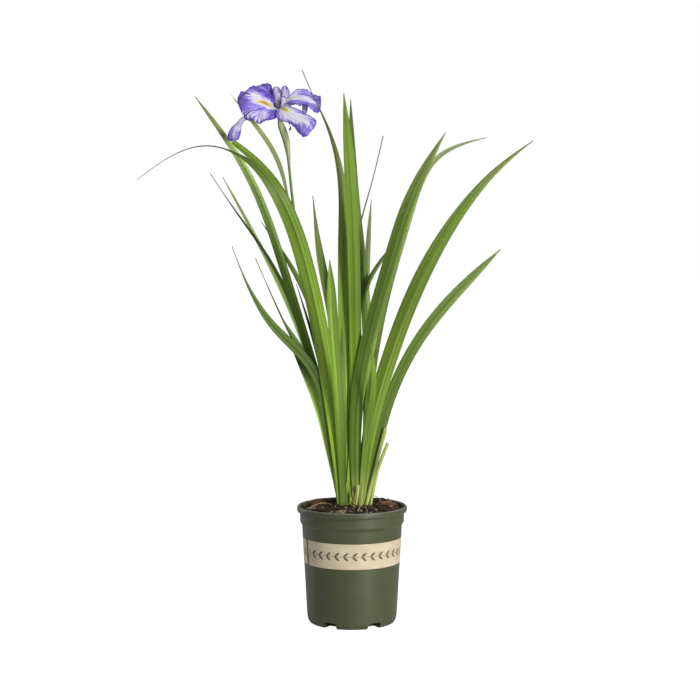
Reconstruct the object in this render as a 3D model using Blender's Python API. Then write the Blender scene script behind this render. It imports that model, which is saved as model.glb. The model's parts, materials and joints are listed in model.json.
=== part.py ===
"""Potted cascade spice japanese iris in flower, in its nursery pot.

Every length below is in millimetres and every angle in degrees. The meshes are made in metres.
+Z is up, the front faces -Y, and the origin is the middle of the pot's foot.
"""

from math import cos, pi, radians, sin
from typing import NamedTuple

import bmesh
import bpy
import numpy as np
from mathutils import Vector, noise

METRES = 0.001
GAP = 0.3  # left between two pieces that touch

# Pot: a blow-moulded nursery pot with a rolled lip, a stepped collar and a tapered wall
POT_HEIGHT = 175.0
LIP_RADIUS = 82.5
LIP_BOTTOM = 166.0
COLLAR_RADIUS = 78.0
COLLAR_BOTTOM = 150.7
SHOULDER_BOTTOM = 147.0
SHOULDER_RADIUS = 75.0
HEEL_HEIGHT = 15.0
HEEL_RADIUS = 67.6
FOOT_RADIUS = 62.8
WALL = 1.8
FLOOR = 2.5
POT_SIDES = 40

# Drainage notches in the heel of the pot
NOTCHES = 6
NOTCH_WIDTH = 21.0
NOTCH_HEIGHT = 9.0
NOTCH_INNER_RADIUS = 47.0
DRAIN_WIDTH = 10.0
DRAIN_BOTTOM = 3.6
DRAIN_TOP = 7.6

# Paper band, which lies in a shallow seat in the wall
BAND_BOTTOM = 91.0
BAND_TOP = 128.6
BAND_THICKNESS = 0.4
BAND_SEAT = 0.5

# Soil, heaped round the crown of the plant
SOIL_EDGE = 168.0
SOIL_CROWN = 172.6
CROWN_CENTRE = (3.0, 30.0)
CROWN_RADIUS = 38.0
HEAP_RADIUS = 62.0
CLOD = 1.6  # height of the lumps in the soil
CLOD_SIZE = 9.0
SOIL_RINGS = 6

# Leaf blades, a flat diamond in section, which start just clear of the soil
LEAF_STEP = 42.0  # length between two sections of a blade
TURN_STEP = 9.0  # turn between two sections of a blade, on average
FEWEST_STEPS = 8
MIDRIB_BASE = 1.8  # thickness of a leaf at its midrib, at the soil and at the tip
MIDRIB_TIP = 0.7
FOOT_SHARE = 0.65  # width at the soil, as a share of the full width
WIDENING = 0.35  # share of the length over which a blade reaches its full width
NARROWEST = 0.6


class Leaf(NamedTuple):
    """A sword-shaped leaf."""

    width: float
    depth: tuple  # y of its foot and of its tip, -Y being the front
    line: tuple  # (x, z) of the points that its midrib runs through
    taper: tuple = (0.4, 0.8)  # share of the length that narrows to the tip, and how bluntly
    turn: tuple = (0, 0.6, 0.83)  # angle that it turns about its midrib, from and to this share
    tone: str = "leaf_mid"


LEAVES = {
    "leaf_left_front": Leaf(
        width=15.5,
        depth=(8, -90),
        line=((-13, 173), (-19, 330), (-28, 462), (-32, 543)),
        taper=(0.2, 0.8),
        turn=(18, 0.3, 1),
        tone="leaf_bright",
    ),
    "leaf_left_arching": Leaf(
        width=25,
        depth=(10.4, -110),
        line=(
            (-14, 173),
            (-27, 302),
            (-45, 423),
            (-67, 527),
            (-96, 615),
            (-139, 677),
            (-204, 706),
            (-304, 656),
        ),
        taper=(0.5, 0.95),
        turn=(82, 0.6, 0.83),
        tone="leaf_bright",
    ),
    "leaf_left_inner": Leaf(
        width=8,
        depth=(13.4, -8),
        line=((-9, 173), (-14, 260), (-15, 350), (-15, 441)),
        taper=(0.3, 0.8),
        turn=(-25, 0.3, 1),
    ),
    "leaf_middle_tall": Leaf(
        width=18.5,
        depth=(15.4, -60),
        line=((-4, 173), (4, 300), (4, 480), (-1, 630), (-12, 782)),
        taper=(0.24, 0.8),
        turn=(-20, 0.35, 1),
        tone="leaf_bright",
    ),
    "leaf_left_lower_sweep": Leaf(
        width=14,
        depth=(15.4, -30),
        line=((-18, 173), (-32, 278), (-66, 389), (-111, 437), (-154, 505), (-176, 562)),
        taper=(0.4, 1.6),
        turn=(-22, 0.3, 0.9),
    ),
    "leaf_middle_tallest": Leaf(
        width=18,
        depth=(17.8, -20),
        line=((-8, 173), (-10, 330), (-12, 557), (-16, 663), (-40, 747), (-60, 789), (-73, 819)),
        taper=(0.42, 1.65),
        turn=(24, 0.4, 1),
        tone="leaf_dark",
    ),
    "leaf_middle_crossing": Leaf(
        width=9,
        depth=(20.2, 30),
        line=((-4, 173), (-2, 320), (6, 451), (34, 526), (84, 587)),
        tone="leaf_dark",
    ),
    "leaf_left_outer": Leaf(
        width=12,
        depth=(20.2, 15),
        line=((-18, 173), (-32, 247), (-62, 353), (-96, 427)),
        taper=(0.3, 0.8),
        tone="leaf_dark",
    ),
    "leaf_left_second": Leaf(
        width=13,
        depth=(22.6, -40),
        line=((-15, 173), (-33, 362), (-60, 497), (-104, 642), (-142, 688), (-179, 718)),
        taper=(0.3, 0.8),
        turn=(-25, 0.3, 0.9),
        tone="leaf_bright",
    ),
    "leaf_left_low": Leaf(
        width=9,
        depth=(25, 18),
        line=((-17, 173), (-41, 329), (-70, 397), (-103, 452)),
        taper=(0.35, 0.8),
    ),
    "leaf_left_upright": Leaf(
        width=13.5,
        depth=(27.4, 40),
        line=((-12, 173), (-20, 330), (-32, 466), (-48, 549), (-59, 638)),
        taper=(0.28, 1.2),
        tone="leaf_dark",
    ),
    "leaf_left_long": Leaf(
        width=13,
        depth=(29.8, 10),
        line=((-15, 173), (-27, 255), (-59, 384), (-102, 527), (-151, 661), (-193, 730), (-233, 784)),
        taper=(0.4, 0.6),
        turn=(22, 0.3, 0.9),
    ),
    "leaf_left_hidden": Leaf(
        width=10,
        depth=(37.2, 60),
        line=((-14, 173), (-28, 320), (-50, 436), (-89, 526), (-138, 599)),
        taper=(0.4, 0.9),
        tone="leaf_dark",
    ),
    "leaf_left_dark": Leaf(
        width=9.5,
        depth=(39.6, 70),
        line=((-16, 173), (-41, 299), (-83, 451), (-130, 549), (-178, 617), (-216, 673)),
        taper=(0.8, 1),
        tone="leaf_dark",
    ),
    "leaf_left_sliver": Leaf(
        width=6,
        depth=(42, 95),
        line=((-15, 173), (-36, 320), (-61, 426), (-86, 504)),
        taper=(0.5, 0.8),
    ),
    "leaf_left_olive": Leaf(
        width=7,
        depth=(44.4, 110),
        line=((-16, 173), (-45, 320), (-90, 455), (-146, 572), (-200, 669)),
        taper=(0.4, 0.6),
        tone="leaf_olive",
    ),
    "leaf_left_thin": Leaf(
        width=4.5,
        depth=(46.8, 100),
        line=((-16, 173), (-52, 335), (-99, 435), (-149, 543)),
        taper=(0.8, 0.8),
    ),
    "leaf_middle_hairlike": Leaf(
        width=3.5,
        depth=(49.2, 150),
        line=((-4, 173), (-2, 420), (9, 579), (32, 665), (49, 735)),
        taper=(0.9, 0.8),
        tone="leaf_dark",
    ),
    "leaf_back_left": Leaf(
        width=12,
        depth=(51.6, 130),
        line=((-14, 173), (-28, 296), (-46, 418), (-76, 544), (-95, 603)),
        turn=(40, 0.25, 0.8),
        tone="leaf_dark",
    ),
    "leaf_back_middle": Leaf(
        width=13,
        depth=(54, 170),
        line=((-6, 173), (3, 290), (5, 400), (3, 520)),
        taper=(0.3, 0.8),
        turn=(55, 0.2, 0.8),
        tone="leaf_dark",
    ),
    "leaf_right_short": Leaf(
        width=9.5,
        depth=(10, -50),
        line=((13, 173), (24, 288), (32, 366), (27, 423)),
        taper=(0.35, 0.8),
        turn=(-20, 0.3, 1),
        tone="leaf_bright",
    ),
    "leaf_right_broad": Leaf(
        width=21,
        depth=(12.4, -70),
        line=((8, 173), (8, 332), (33, 460), (58, 549), (87, 637), (134, 725)),
        taper=(0.28, 0.8),
        turn=(-25, 0.25, 0.9),
        tone="leaf_dark",
    ),
    "leaf_right_sweeping": Leaf(
        width=24,
        depth=(14.8, -60),
        line=((12, 173), (24, 271), (55, 392), (98, 505), (161, 615), (218, 680), (261, 714)),
        taper=(0.5, 0.95),
        turn=(20, 0.3, 0.9),
        tone="leaf_bright",
    ),
    "leaf_right_low": Leaf(
        width=16.5,
        depth=(17.2, -20),
        line=((20, 173), (39, 270), (61, 346), (109, 437), (219, 558)),
        taper=(0.3, 0.75),
        turn=(-18, 0.3, 0.9),
    ),
    "leaf_right_curved": Leaf(
        width=12,
        depth=(19.6, 70),
        line=((17, 173), (22, 290), (50, 481), (87, 609), (132, 698), (205, 727)),
        taper=(0.35, 0.8),
        turn=(30, 0.4, 1),
        tone="leaf_olive",
    ),
    "leaf_middle_back": Leaf(
        width=15,
        depth=(22, 60),
        line=((17, 173), (24, 330), (19, 496), (4, 639), (-2, 784)),
        taper=(0.25, 0.8),
        turn=(20, 0.3, 0.9),
        tone="leaf_dark",
    ),
    "leaf_right_upright": Leaf(
        width=9,
        depth=(24.4, 110),
        line=((21, 173), (24, 329), (23, 526), (30, 634)),
        taper=(0.25, 0.8),
        tone="leaf_olive",
    ),
    "leaf_back_right": Leaf(
        width=12,
        depth=(26.8, 160),
        line=((10, 173), (8, 328), (34, 456), (75, 596)),
        turn=(-50, 0.2, 0.8),
        tone="leaf_dark",
    ),
    "leaf_back_far_right": Leaf(
        width=11,
        depth=(29.2, 150),
        line=((14, 173), (24, 267), (56, 388), (92, 479), (143, 572)),
        turn=(-45, 0.25, 0.8),
        tone="leaf_dark",
    ),
}

# Remains of leaves that were cut off above the soil, and of an old one that dried
STUBS = {
    "cut_stub_low": Leaf(
        width=5.2,
        depth=(14.8, 12),
        line=((28, 173), (39, 226), (54, 267)),
        taper=(0, 1),
        tone="leaf_pale",
    ),
    "cut_stub_high": Leaf(
        width=5.2,
        depth=(12.4, 9),
        line=((22, 173), (38, 241), (51, 290)),
        taper=(0, 1),
        tone="leaf_pale",
    ),
    "cut_stub_front": Leaf(
        width=4.6,
        depth=(7.4, 4),
        line=((5, 173), (7, 186), (9, 204)),
        taper=(0, 1),
        tone="leaf_pale",
    ),
    "dry_sheath": Leaf(
        width=5,
        depth=(6, 7),
        line=((0, 173), (1, 183), (1.5, 196)),
        taper=(0.7, 1),
        tone="dry_leaf",
    ),
}
STUB_STEPS = 4

# Flower stem, with its leaf and the two spathe valves round the flower's foot
STEM_LINE = (
    (-12, 33.5, 173),
    (-26, 32, 300),
    (-45, 29, 406),
    (-76, 24, 542),
    (-88, 20, 624),
    (-94, 15, 684),
)
STEM_RADIUS = 2.4
STEM_STEPS = 18
STEM_LEAF = Leaf(
    width=7,
    depth=(11, 32),
    line=((-94, 626), (-104, 671), (-117, 703), (-146, 745), (-184, 792)),
    taper=(0.45, 0.8),
    tone="leaf_olive",
)
SPATHE_VALVES = {
    "spathe_outer": Leaf(
        width=9.4,
        depth=(10.8, 9),
        line=((-93.6, 684), (-95, 702), (-98.2, 723), (-105.4, 744), (-108, 752)),
        taper=(0.3, 0.6),
    ),
    "spathe_inner": Leaf(
        width=9,
        depth=(19.2, 21),
        line=((-94.4, 687), (-96, 703), (-100, 723), (-107.4, 744), (-110, 751)),
        taper=(0.3, 0.6),
        tone="leaf_pale",
    ),
}
BRACT_THICKNESS = 1.2

# Flower, placed from its heart, where the petals meet
HEART = (-108.0, 15.0, 768.5)
TUBE_LINE = ((-94, 15, 684.6), (-95.4, 15, 702), (-98.8, 15, 723), (-105, 15, 744), (-107, 15, 764))
TUBE_RADII = (2.2, 3.2, 3.0, 2.4, 2.2)
TUBE_SIDES = 8
PETAL_THICKNESS = 0.7


class Petal(NamedTuple):
    """A petal as rows from its foot to its end, each with its two rims and its middle between them."""

    rows: tuple
    steps: int
    columns: int
    ruffle: float  # how far the rim waves
    waves: float  # waves along each rim
    tone: str


PETALS = {
    "fall_left": Petal(
        (
            ((-2.5, 2, -1), (-3, -1, -4), (-2.5, -4, -7)),
            ((-8, 8, 9), (-11, -2, 1), (-4, -9, -15)),
            ((-8, 13, 25), (-19, -4, 4), (-13, -16, -20)),
            ((-24, 19, 37), (-29, -6, 4), (-25, -21, -25)),
            ((-38, 17, 31.5), (-40, -7, 4), (-36, -21, -24)),
            ((-49, 13, 26), (-51, -6, 6), (-47, -17, -19.5)),
            ((-58, 6, 23.5), (-61.5, -3, 12), (-55.5, -8, -7.5)),
        ),
        12,
        6,
        2.0,
        3.5,
        "petal_violet",
    ),
    "fall_front": Petal(
        (
            ((1, -5, -6), (3, -4.5, -4), (5, -3, -2)),
            ((-2, -12, -15), (9, -10, -7), (15, -6, -1)),
            ((3, -18, -21), (18, -18, -11), (26, -10, -2.5)),
            ((13, -25, -24.5), (28, -27, -19), (40, -18, -11)),
            ((23.5, -32, -31), (36, -34, -26), (49, -27, -15.5)),
            ((28, -39, -40), (42, -41, -38), (56, -33, -23)),
            ((35, -42, -47), (43, -43.5, -46.5), (50, -39, -37)),
        ),
        12,
        6,
        0.6,
        3.0,
        "petal_violet",
    ),
    "fall_right": Petal(
        (
            ((5, 1, -3), (5.5, 2.5, -1.5), (5.5, 4.5, 0)),
            ((10, 1, 2.5), (10.5, 4, 6), (11, 7, 10)),
            ((16, 0, 5), (16, 7, 12), (16, 13, 19)),
            ((28, -2, 3), (27, 12, 14), (28, 27, 30)),
            ((41, 0, 1), (40, 16, 15), (41, 35, 27)),
            ((49, 4, -3.5), (51, 20, 13), (51, 37, 23)),
            ((58.5, 7, -8), (61.5, 20, 8), (62, 34, 20.5)),
        ),
        12,
        6,
        1.5,
        3.0,
        "petal_violet",
    ),
    "standard_front": Petal(
        (
            ((-2.5, 3.5, -6), (-3, 2.5, -8), (-3.5, 1, -10)),
            ((-25, -3, -12), (-25, -4, -14.5), (-25, -6, -17)),
            ((-44, -9, -14), (-44, -10, -17), (-43, -11, -20.5)),
            ((-55, -13, -16), (-53, -14, -20), (-50, -15, -23.5)),
            ((-64, -18, -26), (-59.5, -19, -29), (-54.5, -19, -31)),
            ((-74, -25, -39), (-65, -27, -41), (-55.5, -25, -41)),
            ((-75.5, -28, -49), (-67, -30, -52.5), (-59, -28, -49.5)),
        ),
        12,
        4,
        0.6,
        2.0,
        "petal_pale",
    ),
    "standard_right": Petal(
        (
            ((4, 3.5, -6), (4, 5, -4.5), (3.5, 6.5, -3)),
            ((20, 16, 4), (20, 16, 6.5), (20, 17, 9)),
            ((33, 18, 5), (36, 17, 7), (40, 17, 9)),
            ((33.5, 15, -1), (37.5, 13, 0), (42, 15, 1)),
            ((34, 13, -7), (37, 12, -9), (40, 13, -8.5)),
        ),
        10,
        4,
        0.4,
        1.5,
        "petal_pale",
    ),
    "standard_back": Petal(
        (
            ((0.5, 4, -5), (-1, 4.5, -4), (-2.5, 4, -3)),
            ((-12, 26, 14), (-16, 26, 9), (-20, 23, 5)),
            ((-22, 38, 18), (-28, 38, 12), (-34, 33, 8)),
            ((-32, 45, 8), (-38, 43, 4), (-43, 38, 2)),
        ),
        8,
        4,
        0.6,
        2.0,
        "petal_pale",
    ),
    "style_arm_left": Petal(
        (
            ((-1, 0, -3.4), (0, -0.5, -3.4), (1, 0.4, -3.4)),
            ((-5, 3, 5), (-2.5, 1, 5), (0, 3, 6)),
            ((-7, 6, 15), (-3.5, 3, 14), (0, 6, 15)),
            ((-9, 7, 24), (-5, 4, 23), (0, 7, 23)),
            ((-8, 5, 29), (-4, 3, 30), (1, 5, 28)),
        ),
        7,
        4,
        0.3,
        1.5,
        "petal_cream",
    ),
    "style_arm_right": Petal(
        (
            ((1.8, 1.4, -3.4), (2.4, 0.8, -3.4), (3, 1.2, -3.4)),
            ((1.5, 5, 4), (3.5, 3.5, 5), (6, 5, 7)),
            ((3, 9, 17), (7, 6, 17), (13, 9, 16)),
            ((3, 10, 26), (9, 7, 26), (14.5, 10, 24)),
            ((6, 8, 30), (9, 6, 32), (12, 8, 30)),
        ),
        7,
        4,
        0.3,
        1.5,
        "petal_cream",
    ),
    "style_arm_front": Petal(
        (
            ((1.2, -2, -3.4), (2, -2.4, -3.4), (3, -2, -3.4)),
            ((2, -5, 6), (5, -6.5, 6), (9, -5, 5)),
            ((2, -5.5, 11), (6, -7, 11), (11.5, -5.5, 10)),
            ((3, -6, 14.5), (6, -7, 15.5), (10, -6, 14)),
        ),
        6,
        4,
        0.2,
        1.0,
        "petal_cream",
    ),
}
STAMEN_LINE = ((4, 2, -6), (10, -3, -14), (15, -12, -22), (18, -16, -31), (15, -17, -35))
STAMEN_RADIUS = 0.6

# Colour, roughness and metallic value of each finish
FINISHES = {
    "pot_green": ((0.055, 0.070, 0.038), 0.42, 0.0),
    "band_tan": ((0.60, 0.50, 0.37), 0.6, 0.0),
    "soil_dark": ((0.030, 0.018, 0.012), 0.95, 0.0),
    "leaf_bright": ((0.16, 0.28, 0.045), 0.5, 0.0),
    "leaf_mid": ((0.10, 0.20, 0.040), 0.5, 0.0),
    "leaf_dark": ((0.050, 0.105, 0.030), 0.5, 0.0),
    "leaf_olive": ((0.17, 0.22, 0.065), 0.55, 0.0),
    "leaf_pale": ((0.32, 0.42, 0.13), 0.55, 0.0),
    "dry_leaf": ((0.24, 0.14, 0.055), 0.85, 0.0),
    "petal_violet": ((0.17, 0.10, 0.50), 0.55, 0.0),
    "petal_pale": ((0.42, 0.36, 0.66), 0.55, 0.0),
    "petal_cream": ((0.66, 0.58, 0.62), 0.55, 0.0),
    "stamen_grey": ((0.10, 0.09, 0.08), 0.7, 0.0),
}


def finish(name):
    """The material of this name, made on its first use."""
    made = bpy.data.materials.get(name)
    if made:
        return made
    colour, roughness, metallic = FINISHES[name]
    made = bpy.data.materials.new(name)
    made.use_nodes = True
    shader = made.node_tree.nodes["Principled BSDF"]
    shader.inputs["Base Color"].default_value = (*colour, 1.0)
    shader.inputs["Roughness"].default_value = roughness
    shader.inputs["Metallic"].default_value = metallic
    return made


def place(name, mesh, tone):
    """An object of this mesh in the scene, in this finish."""
    mesh.materials.append(finish(tone))
    mesh.shade_smooth()
    mesh.set_sharp_from_angle(angle=radians(35))
    piece = bpy.data.objects.new(name, mesh)
    bpy.context.scene.collection.objects.link(piece)
    return piece


def mesh_of(name, points, faces):
    """A mesh in metres from points in millimetres, its faces turned outwards."""
    mesh = bpy.data.meshes.new(name)
    mesh.from_pydata([Vector(point) * METRES for point in points], [], faces)
    shape = bmesh.new()
    shape.from_mesh(mesh)
    bmesh.ops.recalc_face_normals(shape, faces=shape.faces)
    shape.to_mesh(mesh)
    shape.free()
    return mesh


def turned(name, profile, sides):
    """A solid turned about Z from a profile of (radius, height) that starts and ends on the axis."""
    shape = bmesh.new()
    corners = [shape.verts.new((radius * METRES, 0, height * METRES)) for radius, height in profile]
    edges = [shape.edges.new(pair) for pair in zip(corners, corners[1:])]
    bmesh.ops.spin(
        shape,
        geom=corners + edges,
        cent=(0, 0, 0),
        axis=(0, 0, 1),
        angle=2 * pi,
        steps=sides,
        use_merge=True,
    )
    bmesh.ops.remove_doubles(shape, verts=shape.verts, dist=1e-6)
    bmesh.ops.recalc_face_normals(shape, faces=shape.faces)
    mesh = bpy.data.meshes.new(name)
    shape.to_mesh(mesh)
    shape.free()
    return mesh


def boxes_round_the_foot(name, width, inner, outer, bottom, top):
    """One box for each drainage notch, all in one cutter that isn't shown."""
    shape = bmesh.new()
    for index in range(NOTCHES):
        middle = (2 * index + 1) * pi / NOTCHES - pi / 2
        along = Vector((cos(middle), sin(middle), 0))
        across = Vector((-sin(middle), cos(middle), 0))
        corners = []
        for height in (bottom, top):
            for radius, side in ((inner, -1), (outer, -1), (outer, 1), (inner, 1)):
                point = along * radius + across * (side * width / 2) + Vector((0, 0, height))
                corners.append(shape.verts.new(point * METRES))
        low, high = corners[:4], corners[4:]
        shape.faces.new(low[::-1])
        shape.faces.new(high)
        for side in range(4):
            following = (side + 1) % 4
            shape.faces.new((low[side], low[following], high[following], high[side]))
    mesh = bpy.data.meshes.new(name)
    shape.to_mesh(mesh)
    shape.free()
    return cutter(name, mesh)


def cutter(name, mesh):
    """An object that only cuts others."""
    piece = bpy.data.objects.new(name, mesh)
    bpy.context.scene.collection.objects.link(piece)
    piece.hide_render = True
    piece.display_type = "WIRE"
    return piece


def cut(piece, tool):
    """Takes the tool's space out of the piece."""
    modifier = piece.modifiers.new(tool.name, "BOOLEAN")
    modifier.operation = "DIFFERENCE"
    modifier.object = tool


def wall_radius(height):
    """Outer radius of the tapered wall at this height."""
    rise = (height - HEEL_HEIGHT) / (SHOULDER_BOTTOM - HEEL_HEIGHT)
    return HEEL_RADIUS + (SHOULDER_RADIUS - HEEL_RADIUS) * rise


def inner_profile(shrink):
    """The inside of the pot from its floor up to the lip, this much smaller all round."""
    thick = WALL + shrink
    return (
        (0, FLOOR + shrink),
        (FOOT_RADIUS - 1.5 - shrink, FLOOR + shrink),
        (FOOT_RADIUS + 1.2 - shrink, 6.0),
        (HEEL_RADIUS - thick, HEEL_HEIGHT),
        (SHOULDER_RADIUS - thick, SHOULDER_BOTTOM + 0.6),
        (COLLAR_RADIUS - thick, COLLAR_BOTTOM + 0.8),
        (COLLAR_RADIUS - thick, LIP_BOTTOM),
    )


def make_pot():
    """The pot: a turned body, hollowed out, with six notches and drain holes in its heel."""
    seat_low, seat_high = BAND_BOTTOM - GAP, BAND_TOP + GAP
    outside = (
        (0, 0),
        (FOOT_RADIUS, 0),
        (FOOT_RADIUS + 1.9, 1.2),
        (FOOT_RADIUS + 3.4, 8),
        (HEEL_RADIUS, HEEL_HEIGHT),
        (wall_radius(seat_low), seat_low),
        (wall_radius(seat_low) - BAND_SEAT, seat_low),
        (wall_radius(seat_high) - BAND_SEAT, seat_high),
        (wall_radius(seat_high), seat_high),
        (SHOULDER_RADIUS, SHOULDER_BOTTOM),
        (COLLAR_RADIUS, COLLAR_BOTTOM),
        (COLLAR_RADIUS, LIP_BOTTOM),
        (LIP_RADIUS - 1.0, LIP_BOTTOM + 0.8),
        (LIP_RADIUS, LIP_BOTTOM + 3.6),
        (LIP_RADIUS - 0.6, POT_HEIGHT - 1.6),
        (LIP_RADIUS - 2.4, POT_HEIGHT),
        (0, POT_HEIGHT),
    )
    mouth = (
        (COLLAR_RADIUS, POT_HEIGHT - 2.4),
        (COLLAR_RADIUS + 1.2, POT_HEIGHT + 0.2),
        (COLLAR_RADIUS + 1.2, POT_HEIGHT + 5),
        (0, POT_HEIGHT + 5),
    )
    pot = place("pot", turned("pot", outside, POT_SIDES), "pot_green")
    hollow = cutter("pot_hollow", turned("pot_hollow", inner_profile(0) + mouth, POT_SIDES))
    skins = boxes_round_the_foot(
        "notch_skins",
        NOTCH_WIDTH + 2 * WALL,
        NOTCH_INNER_RADIUS - WALL,
        LIP_RADIUS,
        -2,
        NOTCH_HEIGHT + WALL,
    )
    notches = boxes_round_the_foot("notches", NOTCH_WIDTH, NOTCH_INNER_RADIUS, LIP_RADIUS, -2, NOTCH_HEIGHT)
    drains = boxes_round_the_foot(
        "drains",
        DRAIN_WIDTH,
        NOTCH_INNER_RADIUS - 3 * WALL,
        NOTCH_INNER_RADIUS + WALL,
        DRAIN_BOTTOM,
        DRAIN_TOP,
    )
    cut(hollow, skins)
    for tool in (hollow, notches, drains):
        cut(pot, tool)


def make_band():
    """The paper band round the wall."""
    inner = [wall_radius(height) - BAND_SEAT + GAP for height in (BAND_BOTTOM, BAND_TOP)]
    corners = (
        (inner[0], BAND_BOTTOM),
        (inner[0] + BAND_THICKNESS, BAND_BOTTOM),
        (inner[1] + BAND_THICKNESS, BAND_TOP),
        (inner[1], BAND_TOP),
    )
    points, faces = [], []
    for side in range(POT_SIDES):
        angle = 2 * pi * side / POT_SIDES
        points += [(radius * cos(angle), radius * sin(angle), height) for radius, height in corners]
        following = (side + 1) % POT_SIDES
        for corner in range(4):
            beyond = (corner + 1) % 4
            faces.append(
                (4 * side + corner, 4 * following + corner, 4 * following + beyond, 4 * side + beyond)
            )
    place("label_band", mesh_of("label_band", points, faces), "band_tan")


def soil_height(x, y):
    """Height of the soil: level at the crown, sloping to the wall, and lumpy outside the crown."""
    from_crown = max(0.0, Vector((x - CROWN_CENTRE[0], y - CROWN_CENTRE[1])).length - CROWN_RADIUS)
    slope = min(1.0, from_crown / HEAP_RADIUS)
    level = SOIL_EDGE + (SOIL_CROWN - SOIL_EDGE) * (1 - slope * slope * (3 - 2 * slope))
    lumps = CLOD * noise.noise(Vector((x, y, 0)) / CLOD_SIZE) * min(1.0, from_crown / CLOD_SIZE)
    return level + lumps


def make_soil():
    """The root ball, which fills the pot up to a heaped top."""
    shrink = 0.4
    side = inner_profile(shrink)
    rim = side[-1][0]
    points, faces = [(0, 0, soil_height(0, 0))], []
    rings = [(rim * (ring + 1) / SOIL_RINGS, None) for ring in range(SOIL_RINGS)]
    rings += [corner for corner in side[:0:-1]]
    for radius, height in rings:
        for step in range(POT_SIDES):
            angle = 2 * pi * step / POT_SIDES
            x, y = radius * cos(angle), radius * sin(angle)
            points.append((x, y, soil_height(x, y) if height is None else height))
    points.append((0, 0, side[0][1]))
    for step in range(POT_SIDES):
        following = (step + 1) % POT_SIDES
        faces.append((0, 1 + step, 1 + following))
        for ring in range(len(rings) - 1):
            upper, lower = 1 + ring * POT_SIDES, 1 + (ring + 1) * POT_SIDES
            faces.append((upper + step, lower + step, lower + following, upper + following))
        last = 1 + (len(rings) - 1) * POT_SIDES
        faces.append((len(points) - 1, last + following, last + step))
    soil = place("soil", mesh_of("soil", points, faces), "soil_dark")
    around = boxes_round_the_foot(
        "notch_room",
        NOTCH_WIDTH + 2 * WALL + 2 * shrink,
        NOTCH_INNER_RADIUS - WALL - shrink,
        LIP_RADIUS,
        -2,
        NOTCH_HEIGHT + WALL + shrink,
    )
    cut(soil, around)


def smooth_step(share):
    """Rises smoothly from 0 to 1 as share does."""
    share = np.clip(share, 0, 1)
    return share * share * (3 - 2 * share)


def curve_through(points, steps):
    """Points along a natural cubic spline through these, and each one's share of the way."""
    points = np.asarray(points, float)
    spans = np.linalg.norm(np.diff(points, axis=0), axis=1)
    reached = np.concatenate(([0.0], np.cumsum(spans)))
    count = len(points)
    system = np.eye(count)
    bend = np.zeros_like(points)
    for index in range(1, count - 1):
        before, after = spans[index - 1], spans[index]
        system[index, index - 1 : index + 2] = before, 2 * (before + after), after
        rise = (points[index + 1] - points[index]) / after
        bend[index] = 6 * (rise - (points[index] - points[index - 1]) / before)
    bend = np.linalg.solve(system, bend)
    share = np.linspace(0, 1, steps + 1)
    place_along = share * reached[-1]
    piece = np.clip(np.searchsorted(reached, place_along, side="right") - 1, 0, count - 2)
    into = (place_along - reached[piece])[:, None]
    span = spans[piece][:, None]
    start, end = points[piece], points[piece + 1]
    slope = (end - start) / span - span * (2 * bend[piece] + bend[piece + 1]) / 6
    cubic = (bend[piece + 1] - bend[piece]) / (6 * span)
    return share, start + into * slope + into**2 * bend[piece] / 2 + into**3 * cubic


def blade_frame(leaf, steps):
    """Share of the way, midrib point, width direction and face direction at each step of a leaf."""
    share, seen = curve_through(leaf.line, steps)
    foot, tip = leaf.depth
    midrib = np.column_stack((seen[:, 0], foot + (tip - foot) * share**2, seen[:, 1]))
    along = np.gradient(midrib, axis=0)
    along /= np.linalg.norm(along, axis=1)[:, None]
    level = np.cross((0.0, 1.0, 0.0), along)
    level /= np.linalg.norm(level, axis=1)[:, None]
    angle, turn_start, turn_end = leaf.turn
    turned_by = np.radians(angle * smooth_step((share - turn_start) / (turn_end - turn_start)))[:, None]
    width_way = np.cos(turned_by) * level + np.sin(turned_by) * np.cross(along, level)
    return share, midrib, width_way, np.cross(along, width_way)


def blade_width(leaf, share):
    """Width of a leaf at each share of its length."""
    narrowing, bluntness = leaf.taper
    left = (1 - share) / max(narrowing, 1e-6)
    to_tip = np.sin(pi / 2 * np.clip(left, 0, 1) ** bluntness) if narrowing else np.ones_like(share)
    from_foot = FOOT_SHARE + (1 - FOOT_SHARE) * smooth_step(share / WIDENING)
    return np.maximum(leaf.width * from_foot * to_tip, NARROWEST)


def steps_along(leaf):
    """Number of steps for a leaf of this length and this turn."""
    length = np.linalg.norm(np.diff(np.asarray(leaf.line, float), axis=0), axis=1).sum()
    angle, turn_start, turn_end = leaf.turn
    whole_turn = abs(angle) / (turn_end - turn_start)
    return max(FEWEST_STEPS, round(length / LEAF_STEP), round(whole_turn / TURN_STEP))


def make_blade(name, leaf, steps, thickness=(MIDRIB_BASE, MIDRIB_TIP)):
    """A leaf, stub or bract: a flat diamond in section, along its midrib."""
    share, midrib, width_way, face_way = blade_frame(leaf, steps)
    half_width = blade_width(leaf, share)[:, None] / 2
    half_thick = (thickness[0] + (thickness[1] - thickness[0]) * share)[:, None] / 2
    half_thick = np.minimum(half_thick, 0.9 * half_width)
    sections = np.stack(
        (
            midrib - half_width * width_way,
            midrib - half_thick * face_way,
            midrib + half_width * width_way,
            midrib + half_thick * face_way,
        ),
        axis=1,
    )
    sections[0, :, 2] = midrib[0, 2]
    faces = [(0, 1, 2, 3)]
    for step in range(steps):
        low, high = 4 * step, 4 * step + 4
        for edge, rib in ((0, 1), (2, 1), (2, 3), (0, 3)):
            faces.append((low + edge, low + rib, high + rib))
            faces.append((low + edge, high + rib, high + edge))
    faces.append(tuple(4 * steps + corner for corner in range(4)))
    place(name, mesh_of(name, sections.reshape(-1, 3), faces), leaf.tone)


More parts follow.
